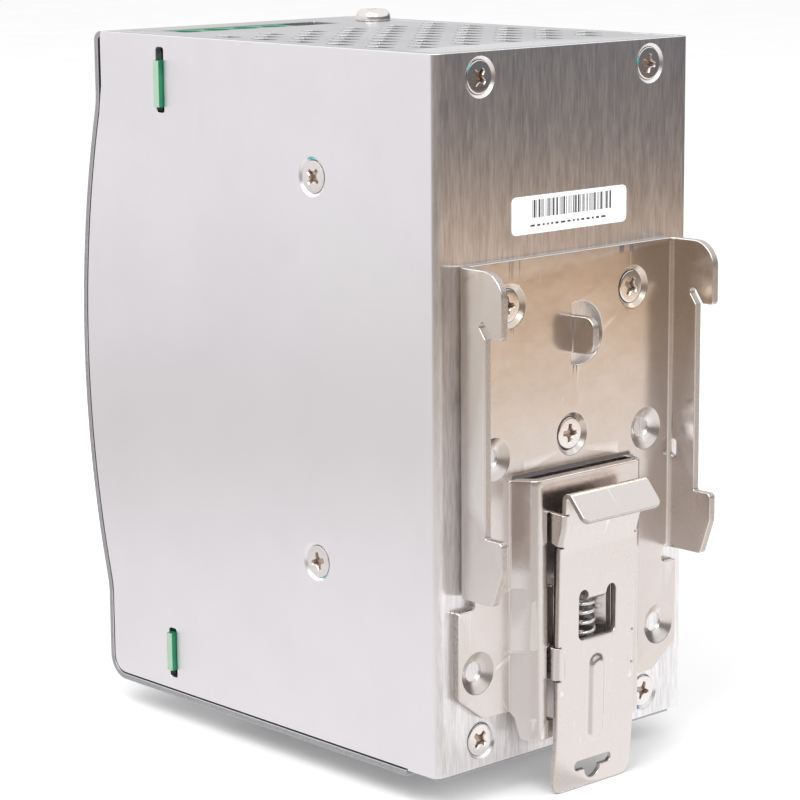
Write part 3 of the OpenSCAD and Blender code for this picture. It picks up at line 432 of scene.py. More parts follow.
def sheet_mesh(outline, holes, t, place, e=0.15, cuts_u=(), cuts_v=()):
    """Rounded-edge sheet cut from a flat pattern, then bent by place(u, v, w) into the casing's frame.
    holes is a list of (loop, profile or None)."""
    bm = bmesh.new()
    loops = [(facing(outline, 1), edges_round(t, e))]
    loops += [(facing(h, -1), p or edges_round(t, e)) for h, p in holes]
    first, last = [], []
    for loop, profile in loops:
        rings = []
        for d, w in profile:
            rings.append([bm.verts.new((u, v, w)) for u, v in inset(loop, d)])
        for k, band in enumerate(tube(bm, rings)):
            cut = abs(profile[k][0] - profile[k + 1][0]) < 1e-9 and len(profile) > 6
            for f in band:
                f.material_index = 1 if cut else 0
        first.append(rings[0])
        last.append(rings[-1])
    for rings in (first, last):
        flat = [[(v.co.x, v.co.y) for v in ring] for ring in rings]
        verts = [v for ring in rings for v in ring]
        links, base = [], 0
        for ring in rings:
            links += [(base + i, base + (i + 1) % len(ring)) for i in range(len(ring))]
            base += len(ring)
        res = delaunay_2d_cdt([Vector(c) for r in flat for c in r], links, [], 0, 1e-6)
        for f in res[2]:
            cx = sum(res[0][k].x for k in f) / len(f)
            cy = sum(res[0][k].y for k in f) / len(f)
            if not inside(cx, cy, flat):
                continue
            corner = [verts[res[3][k][0]] if res[3][k] else None for k in f]
            if None in corner or len(set(corner)) < 3:
                continue
            try:
                bm.faces.new(corner)
            except ValueError:
                pass
    for axis, cuts in ((0, cuts_u), (1, cuts_v)):
        for c in cuts:
            co, no = Vector((0, 0, 0)), Vector((0, 0, 0))
            co[axis], no[axis] = c, 1
            bmesh.ops.bisect_plane(bm, geom=bm.verts[:] + bm.edges[:] + bm.faces[:], dist=1e-5,
                                   plane_co=co, plane_no=no)
    for v in bm.verts:
        v.co = at(*place(v.co.x, v.co.y, v.co.z))
    return bm


def body_from(bm, name, material, body="housing", replaces=(), sharp=34, weighted=True):
    bmesh.ops.recalc_face_normals(bm, faces=bm.faces[:])
    mesh = bpy.data.meshes.new(name)
    bm.to_mesh(mesh)
    bm.free()
    mesh.polygons.foreach_set("use_smooth", [True] * len(mesh.polygons))
    mesh.set_sharp_from_angle(angle=math.radians(sharp))
    for m in material if isinstance(material, (list, tuple)) else [material]:
        mesh.materials.append(m)
    o = bpy.data.objects.new(name, mesh)
    scene.collection.objects.link(o)
    if weighted:
        w = o.modifiers.new("even_normals", "WEIGHTED_NORMAL")
        w.keep_sharp = True
        w.weight = 50
    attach(o, body)
    if replaces:
        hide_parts(*replaces)
    return o


def join(into, other):
    """Adds one bmesh's geometry to another's."""
    mesh = bpy.data.meshes.new("part")
    other.to_mesh(mesh)
    other.free()
    into.from_mesh(mesh)
    bpy.data.meshes.remove(mesh)


def soften(bm, e):
    """Rounds every edge by e mm and moves the mesh from the casing's frame to the row's."""
    bmesh.ops.bevel(bm, geom=bm.edges[:], offset=e, offset_type="OFFSET", segments=2, profile=0.5,
                    affect="EDGES")
    for v in bm.verts:
        v.co = at(*v.co)
    return bm


def slab(low, high, e=ROUND):
    """Small block with rounded edges, in the casing's frame."""
    bm = bmesh.new()
    bmesh.ops.create_cube(bm, size=1.0)
    for v in bm.verts:
        v.co = Vector([(low[i] + high[i]) / 2 + v.co[i] * (high[i] - low[i]) for i in range(3)])
    return soften(bm, e)


def loop_of(corners, n=4):
    """Closed loop from (x, y, corner radius) entries."""
    return rounded([(c[0], c[1]) for c in corners], [c[2] for c in corners], n)


def soft(points):
    return [(x, y, 0.0) for x, y in points]


def window_loop(x0, x1, y0, y1, r, n=4):
    return loop_of([(x0, y0, r), (x1, y0, r), (x1, y1, r), (x0, y1, r)], n)


def mirrored(half):
    """Whole outline from its half, (u, v, corner radius)."""
    return loop_of(half + [(-u, v, r) for u, v, r in half[::-1] if u > 0])


# ---------------------------------------------------------------- chassis

REAR_X, REAR_LOW, REAR_HIGH = 21, 5, 120.8
SIDE_Y, SIDE_LOW, SIDE_HIGH = -31, 33.4, 102.5
BOARD_Y, BOARD_Z = (-62, -12), (10, 118)
BRACKET_SCREWS = ((-15.5, 81.5), (15.5, 81.5), (0, 57))
TOP_SCREW = (-24.3, -76.8)
SINK_R = 3.5
SHEET = 1.5
BEND = 2.0
COVER = 1.1
COVER_REAR = -1.55
DEPTH = 93.5
BOW_MID, BOW_HALF, BOW, BLEND = 64.5, 49.0, 5.9, 15.0
BOW_ANGLE = math.degrees(2 * math.atan(BOW / BOW_HALF))
BOW_R = BOW_HALF / math.sin(math.radians(BOW_ANGLE)) - BLEND
REAR_FLAT = HALF - BEND
BEND_MID = BEND - SHEET / 2
BEND_LEN = BEND_MID * math.pi / 2


def chassis_u(y):
    return REAR_FLAT + BEND_LEN + (-BEND - y)


def chassis_place(u, v, w):
    side = 1 if u >= 0 else -1
    u = abs(u)
    rho = BEND - SHEET + w
    if u <= REAR_FLAT:
        return side * u, -SHEET + w, v
    turn = (u - REAR_FLAT) / BEND_MID
    if turn <= math.pi / 2:
        return side * (REAR_FLAT + rho * math.sin(turn)), -BEND + rho * math.cos(turn), v
    return side * (REAR_FLAT + rho), -BEND - (u - REAR_FLAT - BEND_LEN), v


def bow_line(inset_by):
    """The bow and what is below it, (y, z), moved in."""
    pts = arc(-DEPTH - BOW + BOW_R, BOW_MID, BOW_R - inset_by, 180 - BOW_ANGLE, 180 + BOW_ANGLE, 32)
    pts += arc(-DEPTH - BLEND, BOW_MID - BOW_HALF, BLEND + inset_by, BOW_ANGLE, 0, 4)[1:]
    pts += arc(-DEPTH + 4.5, 4.5 - COVER, 4.5 - inset_by, 180, 270, 10)
    return pts


def make_chassis():
    seam, upper = 0.3, 0.7
    front = -DEPTH + COVER + upper
    half = [(0, 0, 0), (chassis_u(-7.5), 0, 0), (chassis_u(-7.5), seam, 0)]
    half += [(chassis_u(y), z, 0) for y, z in bow_line(COVER + seam)[::-1]]
    half += [(chassis_u(front), BOW_MID + BOW_HALF + 1.5, 0), (chassis_u(front), TALL, 0.6)]
    cone = edges_cone(SHEET, 0.10, 1.95, 0.1)
    holes = [(circle(x, z, SINK_R, 40), cone) for x in (-REAR_X, REAR_X) for z in (REAR_LOW, REAR_HIGH)]
    holes += [(circle(x, z, 1.6, 24), None) for x, z in BRACKET_SCREWS]
    holes += [(circle(chassis_u(SIDE_Y), z, SINK_R, 40), cone) for z in (SIDE_LOW, SIDE_HIGH)]
    holes += [(circle(-chassis_u(y), z, SINK_R, 40), cone) for y in BOARD_Y for z in BOARD_Z]
    for side in (-1, 1):
        for z0, z1 in ((2.7, 12.4), (111.0, 123.0)):
            a, b = side * chassis_u(-74.6), side * chassis_u(-72.4)
            holes.append((window_loop(a, b, z0, z1, 0.5), None))
    cuts = [s * (REAR_FLAT + BEND_LEN * k / 8) for k in range(9) for s in (-1, 1)]
    bm = sheet_mesh(mirrored(half), holes, SHEET, chassis_place, 0.16, cuts)
    body_from(bm, "chassis_sheet", [M["chassis"], M["cut_sheet"]],
              replaces=["chassis"])


# ---------------------------------------------------------------- cover

def cover_path():
    """Outer surface, (y, z, normal y, normal z), from the top's rear edge round to the bottom's."""
    p = [(COVER_REAR, TALL, 0, 1)]

    def turn(cy, cz, r, a0, a1, n, sign):
        for k in range(n + 1):
            a = math.radians(a0 + (a1 - a0) * k / n)
            p.append((cy + r * math.cos(a), cz + r * math.sin(a), sign * math.cos(a), sign * math.sin(a)))

    turn(-DEPTH + 1.8, TALL - 1.8, 1.8, 90, 180, 8, 1)
    turn(-DEPTH - BLEND, BOW_MID + BOW_HALF, BLEND, 0, -BOW_ANGLE, 6, -1)
    turn(-DEPTH - BOW + BOW_R, BOW_MID, BOW_R, 180 - BOW_ANGLE, 180 + BOW_ANGLE, 36, 1)
    turn(-DEPTH - BLEND, BOW_MID - BOW_HALF, BLEND, BOW_ANGLE, 0, 6, -1)
    turn(-DEPTH + 4.5, 4.5 - COVER, 4.5, 180, 270, 12, 1)
    p.append((COVER_REAR, -COVER, 0, -1))
    out, s = [], 0.0
    for i, q in enumerate(p):
        if i:
            step = math.hypot(q[0] - p[i - 1][0], q[1] - p[i - 1][1])
            if step < 1e-6:
                continue
            s += step
        out.append((s, *q))
    return out


COVER_PATH = cover_path()
COVER_END = COVER_PATH[-1][0]


def on_path(path, s):
    s = min(max(s, path[0][0]), path[-1][0])
    for a, b in zip(path, path[1:]):
        if s <= b[0] + 1e-9:
            k = (s - a[0]) / (b[0] - a[0])
            return [a[i] + (b[i] - a[i]) * k for i in range(1, 5)]
    return list(path[-1][1:])


def front_s(z):
    """Where the front passes a height, as a length along the cover's path."""
    for a, b in zip(COVER_PATH, COVER_PATH[1:]):
        if a[1] < -80 and b[2] <= z <= a[2]:
            return a[0] + (b[0] - a[0]) * (a[2] - z) / (a[2] - b[2])
    return COVER_END / 2


def cover_place(u, s, w):
    y, z, ny, nz = on_path(COVER_PATH, s)
    return u, y - ny * (COVER - w), z - nz * (COVER - w)


def vent_loops():
    rows = int((2 * HALF - 8.5) / 5.15)
    out = []
    for row in range(rows + 1):
        for i in range(5):
            x = (row - rows / 2) * 5.15
            y = -60.5 + i * 10.2 + (row % 2) * 5.1
            hexagon = [(0, -3.4), (1.55, -2.3), (1.55, 2.3), (0, 3.4), (-1.55, 2.3), (-1.55, -2.3)]
            out.append([(x + a, y + b) for a, b in rounded(hexagon, 0.3, 2)])
    return out


def make_cover():
    top = lambda y: COVER_REAR - y
    low = lambda y: COVER_END - (COVER_REAR - y)
    bend_s = top(-DEPTH + 1.8)
    half = [(29.55, 0, .3), (29.55, top(-7.8), 0), (30.1, top(-7.8), 0), (30.1, top(-8.2), 0),
            (29.45, top(-8.2), 0), (29.45, top(-12.8), 0), (30.1, top(-12.8), 0), (30.1, bend_s, 0),
            (HALF, bend_s, 0), (HALF, low(-7.8), 0.3), (29.55, low(-7.8), 0), (29.55, COVER_END, .3)]
    holes = []
    for loop in vent_loops():
        holes.append(([(x, top(y)) for x, y in loop], None))
        holes.append(([(x, low(y)) for x, y in loop], None))

    def window(x0, x1, s0, s1, r=0.5):
        holes.append((window_loop(x0, x1, s0, s1, r), None))

    window(-15.1, 23.8, top(-75.5), top(-84))
    window(-14.35, 14.35, low(-84), low(-75.5))
    window(25.5, 28.1, top(-85.4), top(-86.6), 0.2)
    window(-5.3, 23.8, front_s(120.1), front_s(105.3))
    window(-14.05, 14.05, front_s(18.8), front_s(4.0))
    holes.append((circle(TOP_SCREW[0], top(TOP_SCREW[1]), 1.7, 24), None))
    holes.append((circle(-18, front_s(111), 1.7, 28), None))
    holes.append((circle(-18, front_s(100), 2.5, 32), None))
    bm = sheet_mesh(mirrored(half), holes, COVER, cover_place, 0.14, (), [p[0] for p in COVER_PATH[1:-1]])
    for z0, z1 in ((TALL - 9, TALL - 1.2), (0.1, 9)):
        join(bm, slab((-HALF + 4, -2.65, z0), (HALF - 4, -1.6, z1)))
    body_from(bm, "cover_sheet", [M["cover"], M["cut_sheet"]], replaces=["front_cover"])


# ---------------------------------------------------------------- rail bracket

PLATE = 1.5
BEND_R = PLATE + 1
BEND_MID = BEND_R - PLATE / 2
EAR_BEND = 27.2 - BEND_R
EAR_LEN = BEND_MID * math.pi / 2
GUIDE_TOP = 50.7
SLIT = 0.1
HOOK = 11.4


def hat_line():
    """Middle of the raised guide's sheet, (x, y, normal x, normal y), from its foot to its face."""
    out = [(17.2, PLATE / 2, 0, 1)]
    for k in range(7):
        a = math.radians(270 - 64.5 * k / 6)
        out.append((15.7 + 1.25 * math.cos(a), 2.0 + 1.25 * math.sin(a), -math.cos(a), -math.sin(a)))
    for k in range(9):
        a = math.radians(25.5 + 64.5 * k / 8)
        out.append((11.85 + 1.45 * math.cos(a), 3.8 + 1.45 * math.sin(a), math.cos(a), math.sin(a)))
    return out + [(0, 6 - PLATE / 2, 0, 1)]


HAT = hat_line()
MOON = (-2.0, 74.8, 5.6)
FLAP_ROOT, FLAP_HALF, FLAP_LEN = 0.2, 3.3, 6.3
FLAP_R = PLATE / 2 + 0.3


def bracket_place(u, v, w):
    side = 1 if u >= 0 else -1
    x = abs(u)
    if abs(v - MOON[1]) < FLAP_HALF + 0.01 and FLAP_ROOT - FLAP_LEN - 0.02 < u < FLAP_ROOT - 1e-6:
        go = FLAP_ROOT - u
        rho = PLATE + 0.3 - w
        turn = min(go / FLAP_R, math.pi / 2)
        rest = max(0.0, go - FLAP_R * math.pi / 2)
        return FLAP_ROOT - rho * math.sin(turn), PLATE + 0.3 - rho * math.cos(turn) + rest, v
    if x > EAR_BEND and v > 30.7:
        rho = BEND_R - w
        turn = (x - EAR_BEND) / BEND_MID
        if turn <= math.pi / 2:
            return side * (EAR_BEND + rho * math.sin(turn)), BEND_R - rho * math.cos(turn), v
        return side * (EAR_BEND + rho), BEND_R + (x - EAR_BEND - EAR_LEN), v
    if v < GUIDE_TOP + 0.05 and x < HAT[0][0]:
        for a, b in zip(HAT, HAT[1:]):
            if b[0] - 1e-9 <= x <= a[0] + 1e-9:
                k = (a[0] - x) / (a[0] - b[0])
                px, py, nx, ny = [a[i] + (b[i] - a[i]) * k for i in range(4)]
                size = math.hypot(nx, ny)
                off = (w - PLATE / 2) / size
                lift = min(max((v - 48.6) / 2.0, 0.0), 1.0) * min(max((15.8 - x) / 2.3, 0.0), 1.0)
                return side * (px + nx * off), py + ny * off, v + (0.4 + 0.2 * (1 - w / PLATE)) * lift
    # The plate's edge rolls over a little where the guide was pressed out of it
    if v < GUIDE_TOP + 1.3 and x < 15.7:
        k = min(max((GUIDE_TOP + 1.3 - v) / 1.2, 0.0), 1.0) * min(1.0, 15.7 - x)
        return u, w + 0.24 * k * k, v
    return u, w, v


def ear_u(y):
    return EAR_BEND + EAR_LEN + (y - BEND_R)


def cheek(side):
    """Sloping cheek beside the spring, from the guide's window in towards the rear panel."""
    line = [(5.55, 4.9), (6.15, 4.9), (6.15, 4.55), (3.75, 1.25), (3.15, 1.5)]
    bm = bmesh.new()
    face = bm.faces.new([bm.verts.new((side * x, y, 21.8)) for x, y in line])
    up = bmesh.ops.extrude_face_region(bm, geom=[face])["geom"]
    bmesh.ops.translate(bm, verts=[e for e in up if isinstance(e, bmesh.types.BMVert)], vec=(0, 0, 7.1))
    return soften(bm, ROUND)


def make_bracket():
    half = [(7.6, 4.2, .3), (7.6, 45.2, .4), (10.7, 45.2, .4), (10.7, 32, .2), (9.05, 32, .2), (9.05, 21, .2),
            (10.7, 21, .4), (10.7, 7.7, .4), (9.05, 7.7, .2), (9.05, 4.2, .3), (13.95, 4.2, .8)]
    half += soft(arc(15.7, 7.95, 1.3, 180, 90, 6))
    half += [(21.8, 9.3, 1.0), (27.8, 13.8, 1.0), (27.8, 29.4, .5), (23.9, 29.4, .9), (23.9, 32, .9)]
    ear = [(9.2, 32, .9), (HOOK, 38.6, .9)] + soft(arc(HOOK - 0.9, 42.6, 0.9, 0, 90, 5))
    ear += [(7.4, 43.5, .35), (7.4, 77.8, .25), (6.133, 79.55, 0)]
    ear += soft(arc(6.74, 79.99, 0.75, 216, 36, 8)[1:]) + [(9.04, 78.1, .25), (HOOK, 78.1, .6)]
    ear += soft(arc(HOOK - 4.6, 84.8, 4.6, 0, 90, 10))
    half += [(ear_u(y), z, r) for y, z, r in ear]
    holes = []
    cone = edges_cone(PLATE, 0.12, 1.9, 0.02)
    holes += [(circle(x, z, 3.8, 40), cone) for x, z in BRACKET_SCREWS]
    wide = edges_cone(PLATE, 0.12, 1.95, 0.35)
    holes += [(circle(s * x, z, 3.8, 40), wide) for x, z in ((19.2, 55.2), (23.2, 17.9)) for s in (-1, 1)]
    cx, cz, r = MOON
    a0 = math.degrees(math.acos((FLAP_ROOT - cx) / r))
    end, rr = FLAP_ROOT - FLAP_LEN, 2.0
    moon = [(FLAP_ROOT, cz + FLAP_HALF)] + arc(cx, cz, r, a0, 360 - a0, 28) + [(FLAP_ROOT, cz - FLAP_HALF)]
    moon += arc(end + rr, cz - FLAP_HALF + rr, rr, 270, 180, 6)
    moon += arc(end + rr, cz + FLAP_HALF - rr, rr, 180, 90, 6)
    holes.append((moon, None))
    holes.append((window_loop(-15.9, 15.9, GUIDE_TOP, GUIDE_TOP + SLIT, 0), None))
    holes.append((loop_of([(-5.5, 14.8, .4), (5.5, 14.8, .4), (5.5, 30.1, .8), (-5.5, 30.1, .8)]), None))
    a, b = -ear_u(1.5), -ear_u(3.1)
    holes.append((window_loop(a, b, 49.2, 52.4, .7), None))
    cuts = [s * (EAR_BEND + EAR_LEN * k / 8) for k in range(9) for s in (-1, 1)]
    cuts += [s * p[0] for p in HAT[:-1] for s in (-1, 1)]
    cuts += [FLAP_ROOT - FLAP_R * math.pi / 2 * k / 6 for k in range(7)]
    cuts += [s * v for v in (14.7, 15.2, 15.6) for s in (-1, 1)]
    rows = [48.6] + [GUIDE_TOP + SLIT + 0.24 * k for k in range(1, 6)]
    bm = sheet_mesh(mirrored(half), holes, PLATE, bracket_place, 0.17, sorted(set(cuts)), rows)
    join(bm, slab((-2.3, 2.1, 13.3), (2.3, 5.5, 14.8)))
    for s in (-1, 1):
        join(bm, cheek(s))
    body_from(bm, "rail_bracket", [M["bracket"], M["cut_plate"]],
              replaces=["din_bracket"])


# ---------------------------------------------------------------- release clip

SPRING_T = 1.0


def open_rounded(points, radii):
    """Open line with its inner corners rounded, finer where it turns more."""
    out = [Vector(points[0])]
    for i in range(1, len(points) - 1):
        corner = fillet(*points[i - 1:i + 2], radii[i], 0.002, lambda turn: max(3, int(12 * turn)))
        out += [Vector(c) for c in corner]
    return out + [Vector(points[-1])]


def clip_path():
    mid = open_rounded([(6.2, -6.3), (7.1, 4), (7.75, 38.5), (8.95, 42.6), (9.3, 49.85), (14.0, 44.4)],
                       [0, 40, 6, 6, 0.85, 0])
    out, s = [], 0.0
    for i, q in enumerate(mid):
        if i:
            s += (q - mid[i - 1]).length
        a = mid[max(0, i - 1)]
        b = mid[min(len(mid) - 1, i + 1)]
        if i in (0, len(mid) - 1):
            d = (b - a).normalized()
        else:
            d = ((q - a).normalized() + (b - q).normalized()).normalized()
        out.append((s, q.x, q.y, d.y, -d.x))
    return out


CLIP_PATH = clip_path()
CLIP_END = CLIP_PATH[-1][0]
APEX = max(range(len(CLIP_PATH)), key=lambda i: CLIP_PATH[i][2])
TAB_ROOT, TAB_R = 8.95, 0.65


def clip_s(z):
    for a, b in zip(CLIP_PATH[:APEX], CLIP_PATH[1:APEX + 1]):
        if a[2] <= z <= b[2]:
            return a[0] + (b[0] - a[0]) * (z - a[2]) / (b[2] - a[2])
    return 0.0


TABS = [(clip_s(14.9), clip_s(20.8)), (clip_s(39.2), clip_s(45.0))]
LUG_S = clip_s(29.5)
LUG_R = 0.9


def clip_place(u, s, w):
    side = 1 if u >= 0 else -1
    x = abs(u)
    off = w - SPRING_T / 2
    y, z, ny, nz = on_path(CLIP_PATH, s)
    size = math.hypot(ny, nz)
    ny, nz = ny / size, nz / size
    if x < 2.31 and LUG_S - 6.2 < s < LUG_S:
        y, z, ny, nz = on_path(CLIP_PATH, LUG_S)
        go = LUG_S - s
        turn = min(go / LUG_R, math.pi / 2)
        rest = max(0.0, go - LUG_R * math.pi / 2)
        rho = LUG_R + off
        return u, y - (LUG_R - rho * math.cos(turn)) - rest, z - rho * math.sin(turn)
    if x > TAB_ROOT and any(a - 0.02 <= s <= b + 0.02 for a, b in TABS):
        turn = min((x - TAB_ROOT) / TAB_R, math.pi / 2)
        rest = max(0.0, x - TAB_ROOT - TAB_R * math.pi / 2)
        rho = TAB_R + off
        deep = TAB_R - rho * math.cos(turn) + rest
        return side * (TAB_ROOT + rho * math.sin(turn)), y - ny * deep, z - nz * deep
    rise = 0.0
    if x < 2.6 and 1.5 < z < 19:
        gap = math.hypot(x, z - min(max(z, 4.4), 15.9))
        k = min(max((2.35 - gap) / 1.35, 0.0), 1.0)
        rise = 0.62 * k * k * (3 - 2 * k)
    if 7.7 < x < 8.4 and any(a + 0.4 <= s <= b - 0.4 for a, b in TABS):
        rise = -0.10 * max(0.0, 1 - abs(x - 8.05) / 0.2)
    return u, y + ny * (off + rise), z + nz * (off + rise)


def make_clip():
    tip = TAB_ROOT + TAB_R * math.pi / 2 + 3.75
    half = [(9.8, 0, 2.2)]
    for a, b in TABS:
        half += [(9.8, a - 0.22, 0), (TAB_ROOT, a - 0.22, 0), (TAB_ROOT, a, 0), (tip, a, .4),
                 (tip, b, .4), (TAB_ROOT, b, 0), (TAB_ROOT, b + 0.22, 0), (9.8, b + 0.22, 0)]
    half += [(9.8, CLIP_END, 1.3)]

    def s_loop(points):
        return [(x, clip_s(z)) for x, z in points]

    pull = [(-3.8, -1.2), (3.8, -1.2)] + arc(3.8, -2.1, .9, 90, -90, 8)[1:] + [(2.1, -3.0)]
    pull += arc(0, -3.0, 2.0, -4, -176, 12) + [(-2.1, -3.0), (-3.8, -3.0)]
    pull += arc(-3.8, -2.1, .9, -90, -270, 8)[1:-1]
    window = [(4.7, 29.2)] + arc(3.5, 29.2, 1.2, 0, 180, 10)[1:] + [(2.3, 23.55), (-2.3, 23.55)]
    window += arc(-3.5, 29.2, 1.2, 0, 180, 10) + arc(-3.5, 22.5, 1.2, 180, 270, 6)
    window += arc(3.5, 22.5, 1.2, 270, 360, 6)
    holes = [(s_loop(pull), None), (s_loop(window), None)]
    cuts_u = [s * (TAB_ROOT + TAB_R * math.pi / 2 * k / 7) for k in range(8) for s in (-1, 1)]
    cuts_u += [-2.6 + 0.26 * k for k in range(21)] + [s * v for v in (7.85, 8.05, 8.25) for s in (-1, 1)]
    cuts_v = [p[0] for p in CLIP_PATH[1:-1]] + [clip_s(1.6 + 0.43 * k) for k in range(41)]
    cuts_v += [v for a, b in TABS for v in (a + 0.3, a + 0.5, b - 0.5, b - 0.3)]
    cuts_v += [LUG_S - LUG_R * math.pi / 2 * k / 6 for k in range(7)]
    bm = sheet_mesh(mirrored(half), holes, SPRING_T, clip_place, 0.15, cuts_u, sorted(cuts_v))
    for s in (-1, 1):
        for z0, z1 in ((14.9, 20.8), (39.2, 45)):
            x = sorted((s * 6.3, s * 9.7))
            join(bm, slab((x[0], 2.95, z0 + 0.1), (x[1], 3.75, z1 - 0.1)))
    body_from(bm, "release_clip_sheet", [M["clip"], M["cut_plate"]], "release_clip",
              ["release_clip"])


def make_spring():
    bm = bmesh.new()
    turns, steps, sides, r = 8.0, 28, 14, 0.35
    mean_r, depth, end_rise = 2.13, 4.3, 0.73
    low, high = 14.8 + 0.4, 28.1 - 0.4
    rings = []
    count = int(turns * steps)
    for i in range(count + 1):
        t = i / steps
        # Dead turns at both ends
        k = min(max((t - 1) / (turns - 2), 0.0), 1.0)
        rise = low + end_rise * (min(t, 1) + max(0.0, t - turns + 1)) + (high - low - 2 * end_rise) * k
        a = 2 * math.pi * t
        out = Vector((math.cos(a), math.sin(a), 0))
        c = Vector((0, depth, rise)) + out * mean_r
        ring = []
        for j in range(sides):
            b = 2 * math.pi * j / sides
            q = c + out * (r * math.cos(b)) + Vector((0, 0, 1)) * (r * math.sin(b))
            ring.append(bm.verts.new(at(*q)))
        rings.append(ring)
    tube(bm, rings)
    bm.faces.new(rings[0])
    bm.faces.new(rings[-1])
    coil = body_from(bm, "spring_coil", M["wire"], replaces=["clip_spring"], sharp=60)
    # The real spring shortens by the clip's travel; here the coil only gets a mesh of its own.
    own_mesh(coil)


# ---------------------------------------------------------------- screws

def star(span, tip, turn):
    pts = []
    for k in range(4):
        a = math.radians(90 * k + turn)
        for x, y in ((span, -tip), (span, tip), (0.82, 0.44), (0.44, 0.82)):
            pts.append((x * math.cos(a) - y * math.sin(a), x * math.sin(a) + y * math.cos(a)))
    return pts


def screw_head(bm, place, outline, top, span, tip, depth, turn):
    """Head with a tapered cross recess. outline is (radius, height) pairs from the rim of the flat
    downwards, and place(u, v, w) puts it on the casing."""
    spin = 40
    star_loop = facing(rounded(star(span, tip, turn), 0.10, 2), -1)
    rings = []
    for d, w in ((0.09, 0.0), (0.0, -0.08), (-0.10, -0.5 * depth), (-0.20, -depth)):
        rings.append([bm.verts.new((u, v, top + w)) for u, v in inset(star_loop, d)])
    # The recess faces take the second material, darker as painted shade.
    for band in tube(bm, rings)[1:]:
        for f in band:
            f.material_index = 1
    bm.faces.new(rings[-1]).material_index = 1
    rims = []
    for r, w in outline:
        rims.append([bm.verts.new((r * math.cos(a), r * math.sin(a), w))
                     for a in [2 * math.pi * k / spin for k in range(spin)]])
    tube(bm, rims)
    bm.faces.new(rims[-1])
    verts = rims[0] + rings[0]
    n0, n1 = len(rims[0]), len(rings[0])
    links = [(i, (i + 1) % n0) for i in range(n0)] + [(n0 + i, n0 + (i + 1) % n1) for i in range(n1)]
    flat = [[(v.co.x, v.co.y) for v in rims[0]], [(v.co.x, v.co.y) for v in rings[0]]]
    res = delaunay_2d_cdt([Vector((v.co.x, v.co.y)) for v in verts], links, [], 0, 1e-6)
    for f in res[2]:
        cx = sum(res[0][k].x for k in f) / 3
        cy = sum(res[0][k].y for k in f) / 3
        if inside(cx, cy, flat):
            try:
                bm.faces.new([verts[res[3][k][0]] for k in f])
            except (ValueError, IndexError):
                pass
    for v in bm.verts:
        if not v.tag:
            v.co = at(*place(v.co.x, v.co.y, v.co.z))
            v.tag = True


def add_screw(bm, place, kind, turn):
    part = bmesh.new()
    if kind == "pan":
        outline = [(1.9, 2.3), (2.4, 2.22), (2.8, 2.0), (3.15, 1.6), (3.38, 1.15), (3.46, 0.7), (3.45, 0.1),
                   (1.5, 0.06), (1.5, -7)]
        screw_head(part, place, outline, 2.3, 1.8, 0.42, 1.2, turn)
    else:
        length = {"long": -7.0, "mid": -6.0, "short": -4.5, "plate": -6.0}[kind]
        top = -0.45 if kind == "plate" else -0.2
        outline = [(2.62, top), (2.78, top - 0.015), (2.87, top - 0.07), (2.89, top - 0.16), (1.9, top - 1.0),
                   (1.5, top - 1.08), (1.5, length)]
        screw_head(part, place, outline, top, 1.62, 0.36, 0.85, turn)
    join(bm, part)


def on_rear(x, y, z):
    return lambda u, v, w: (x + u, y + w, z + v)


def on_side(side, y, z):
    return lambda u, v, w: (side * (HALF + w), y + u, z + v)


def on_top(x, y):
    return lambda u, v, w: (x + u, y + v, TALL + w)


def make_screws():
    rear = [(on_rear(x, 0, z), t) for x, z, t in ((REAR_X, REAR_HIGH, 38), (-REAR_X, REAR_HIGH, 12),
                                                  (REAR_X, REAR_LOW, 40), (-REAR_X, REAR_LOW, 20))]
    plate = [(on_rear(x, PLATE, z), t) for (x, z), t in zip(BRACKET_SCREWS, (30, 0, 5))]
    side = [(on_side(1, SIDE_Y, z), t) for z, t in ((SIDE_LOW, 15), (SIDE_HIGH, 50))]
    board = [(on_side(-1, y, z), t) for (y, z), t in
             zip([(y, z) for z in BOARD_Z for y in BOARD_Y], (10, 70, 35, 55))]
    for name, node, kind, places in (("rear_screw_set", "rear_screws", "long", rear),
                                     ("bracket_screw_set", "bracket_screws", "plate", plate),
                                     ("side_screw_set", "side_screws", "mid", side),
                                     ("board_screw_set", "board_screws", "short", board),
                                     ("top_screw_head", "top_screw", "pan", [(on_top(*TOP_SCREW), 25)])):
        bm = bmesh.new()
        for place, turn in places:
            add_screw(bm, place, kind, turn)
        body_from(bm, name, [M["screw"], M["recess"]], replaces=[node], weighted=False)


# ---------------------------------------------------------------- label and thread lock

def make_label():
    x0, z0, w, h, r = -15.1, 93.2, 28.7, 6.6, 1.0
    edge = window_loop(x0, x0 + w, z0, z0 + h, r, 5)
    bm = sheet_mesh(edge, [], 0.1, lambda u, v, t: (u, 0.005 + t, v), 0.03)
    body_from(bm, "label_sheet", [M["label"], M["label"]], replaces=["serial_label"])
    bars = random.Random(11)
    bm = bmesh.new()
    x = x0 + 4.0
    while x < x0 + w - 5.0:
        wide = bars.choice((0.14, 0.14, 0.28, 0.42))
        join(bm, slab((x, 0.100, z0 + 2.75), (x + wide, 0.116, z0 + h - 0.75), 0.004))
        x += wide + bars.choice((0.16, 0.16, 0.30, 0.44))
    x = x0 + 5.4
    while x < x0 + w - 5.0:
        wide = bars.choice((0.5, 0.8, 1.1))
        join(bm, slab((x, 0.100, z0 + 1.25), (x + wide, 0.116, z0 + 1.6), 0.004))
        x += wide + 0.55
    body_from(bm, "label_bars", M["ink"])


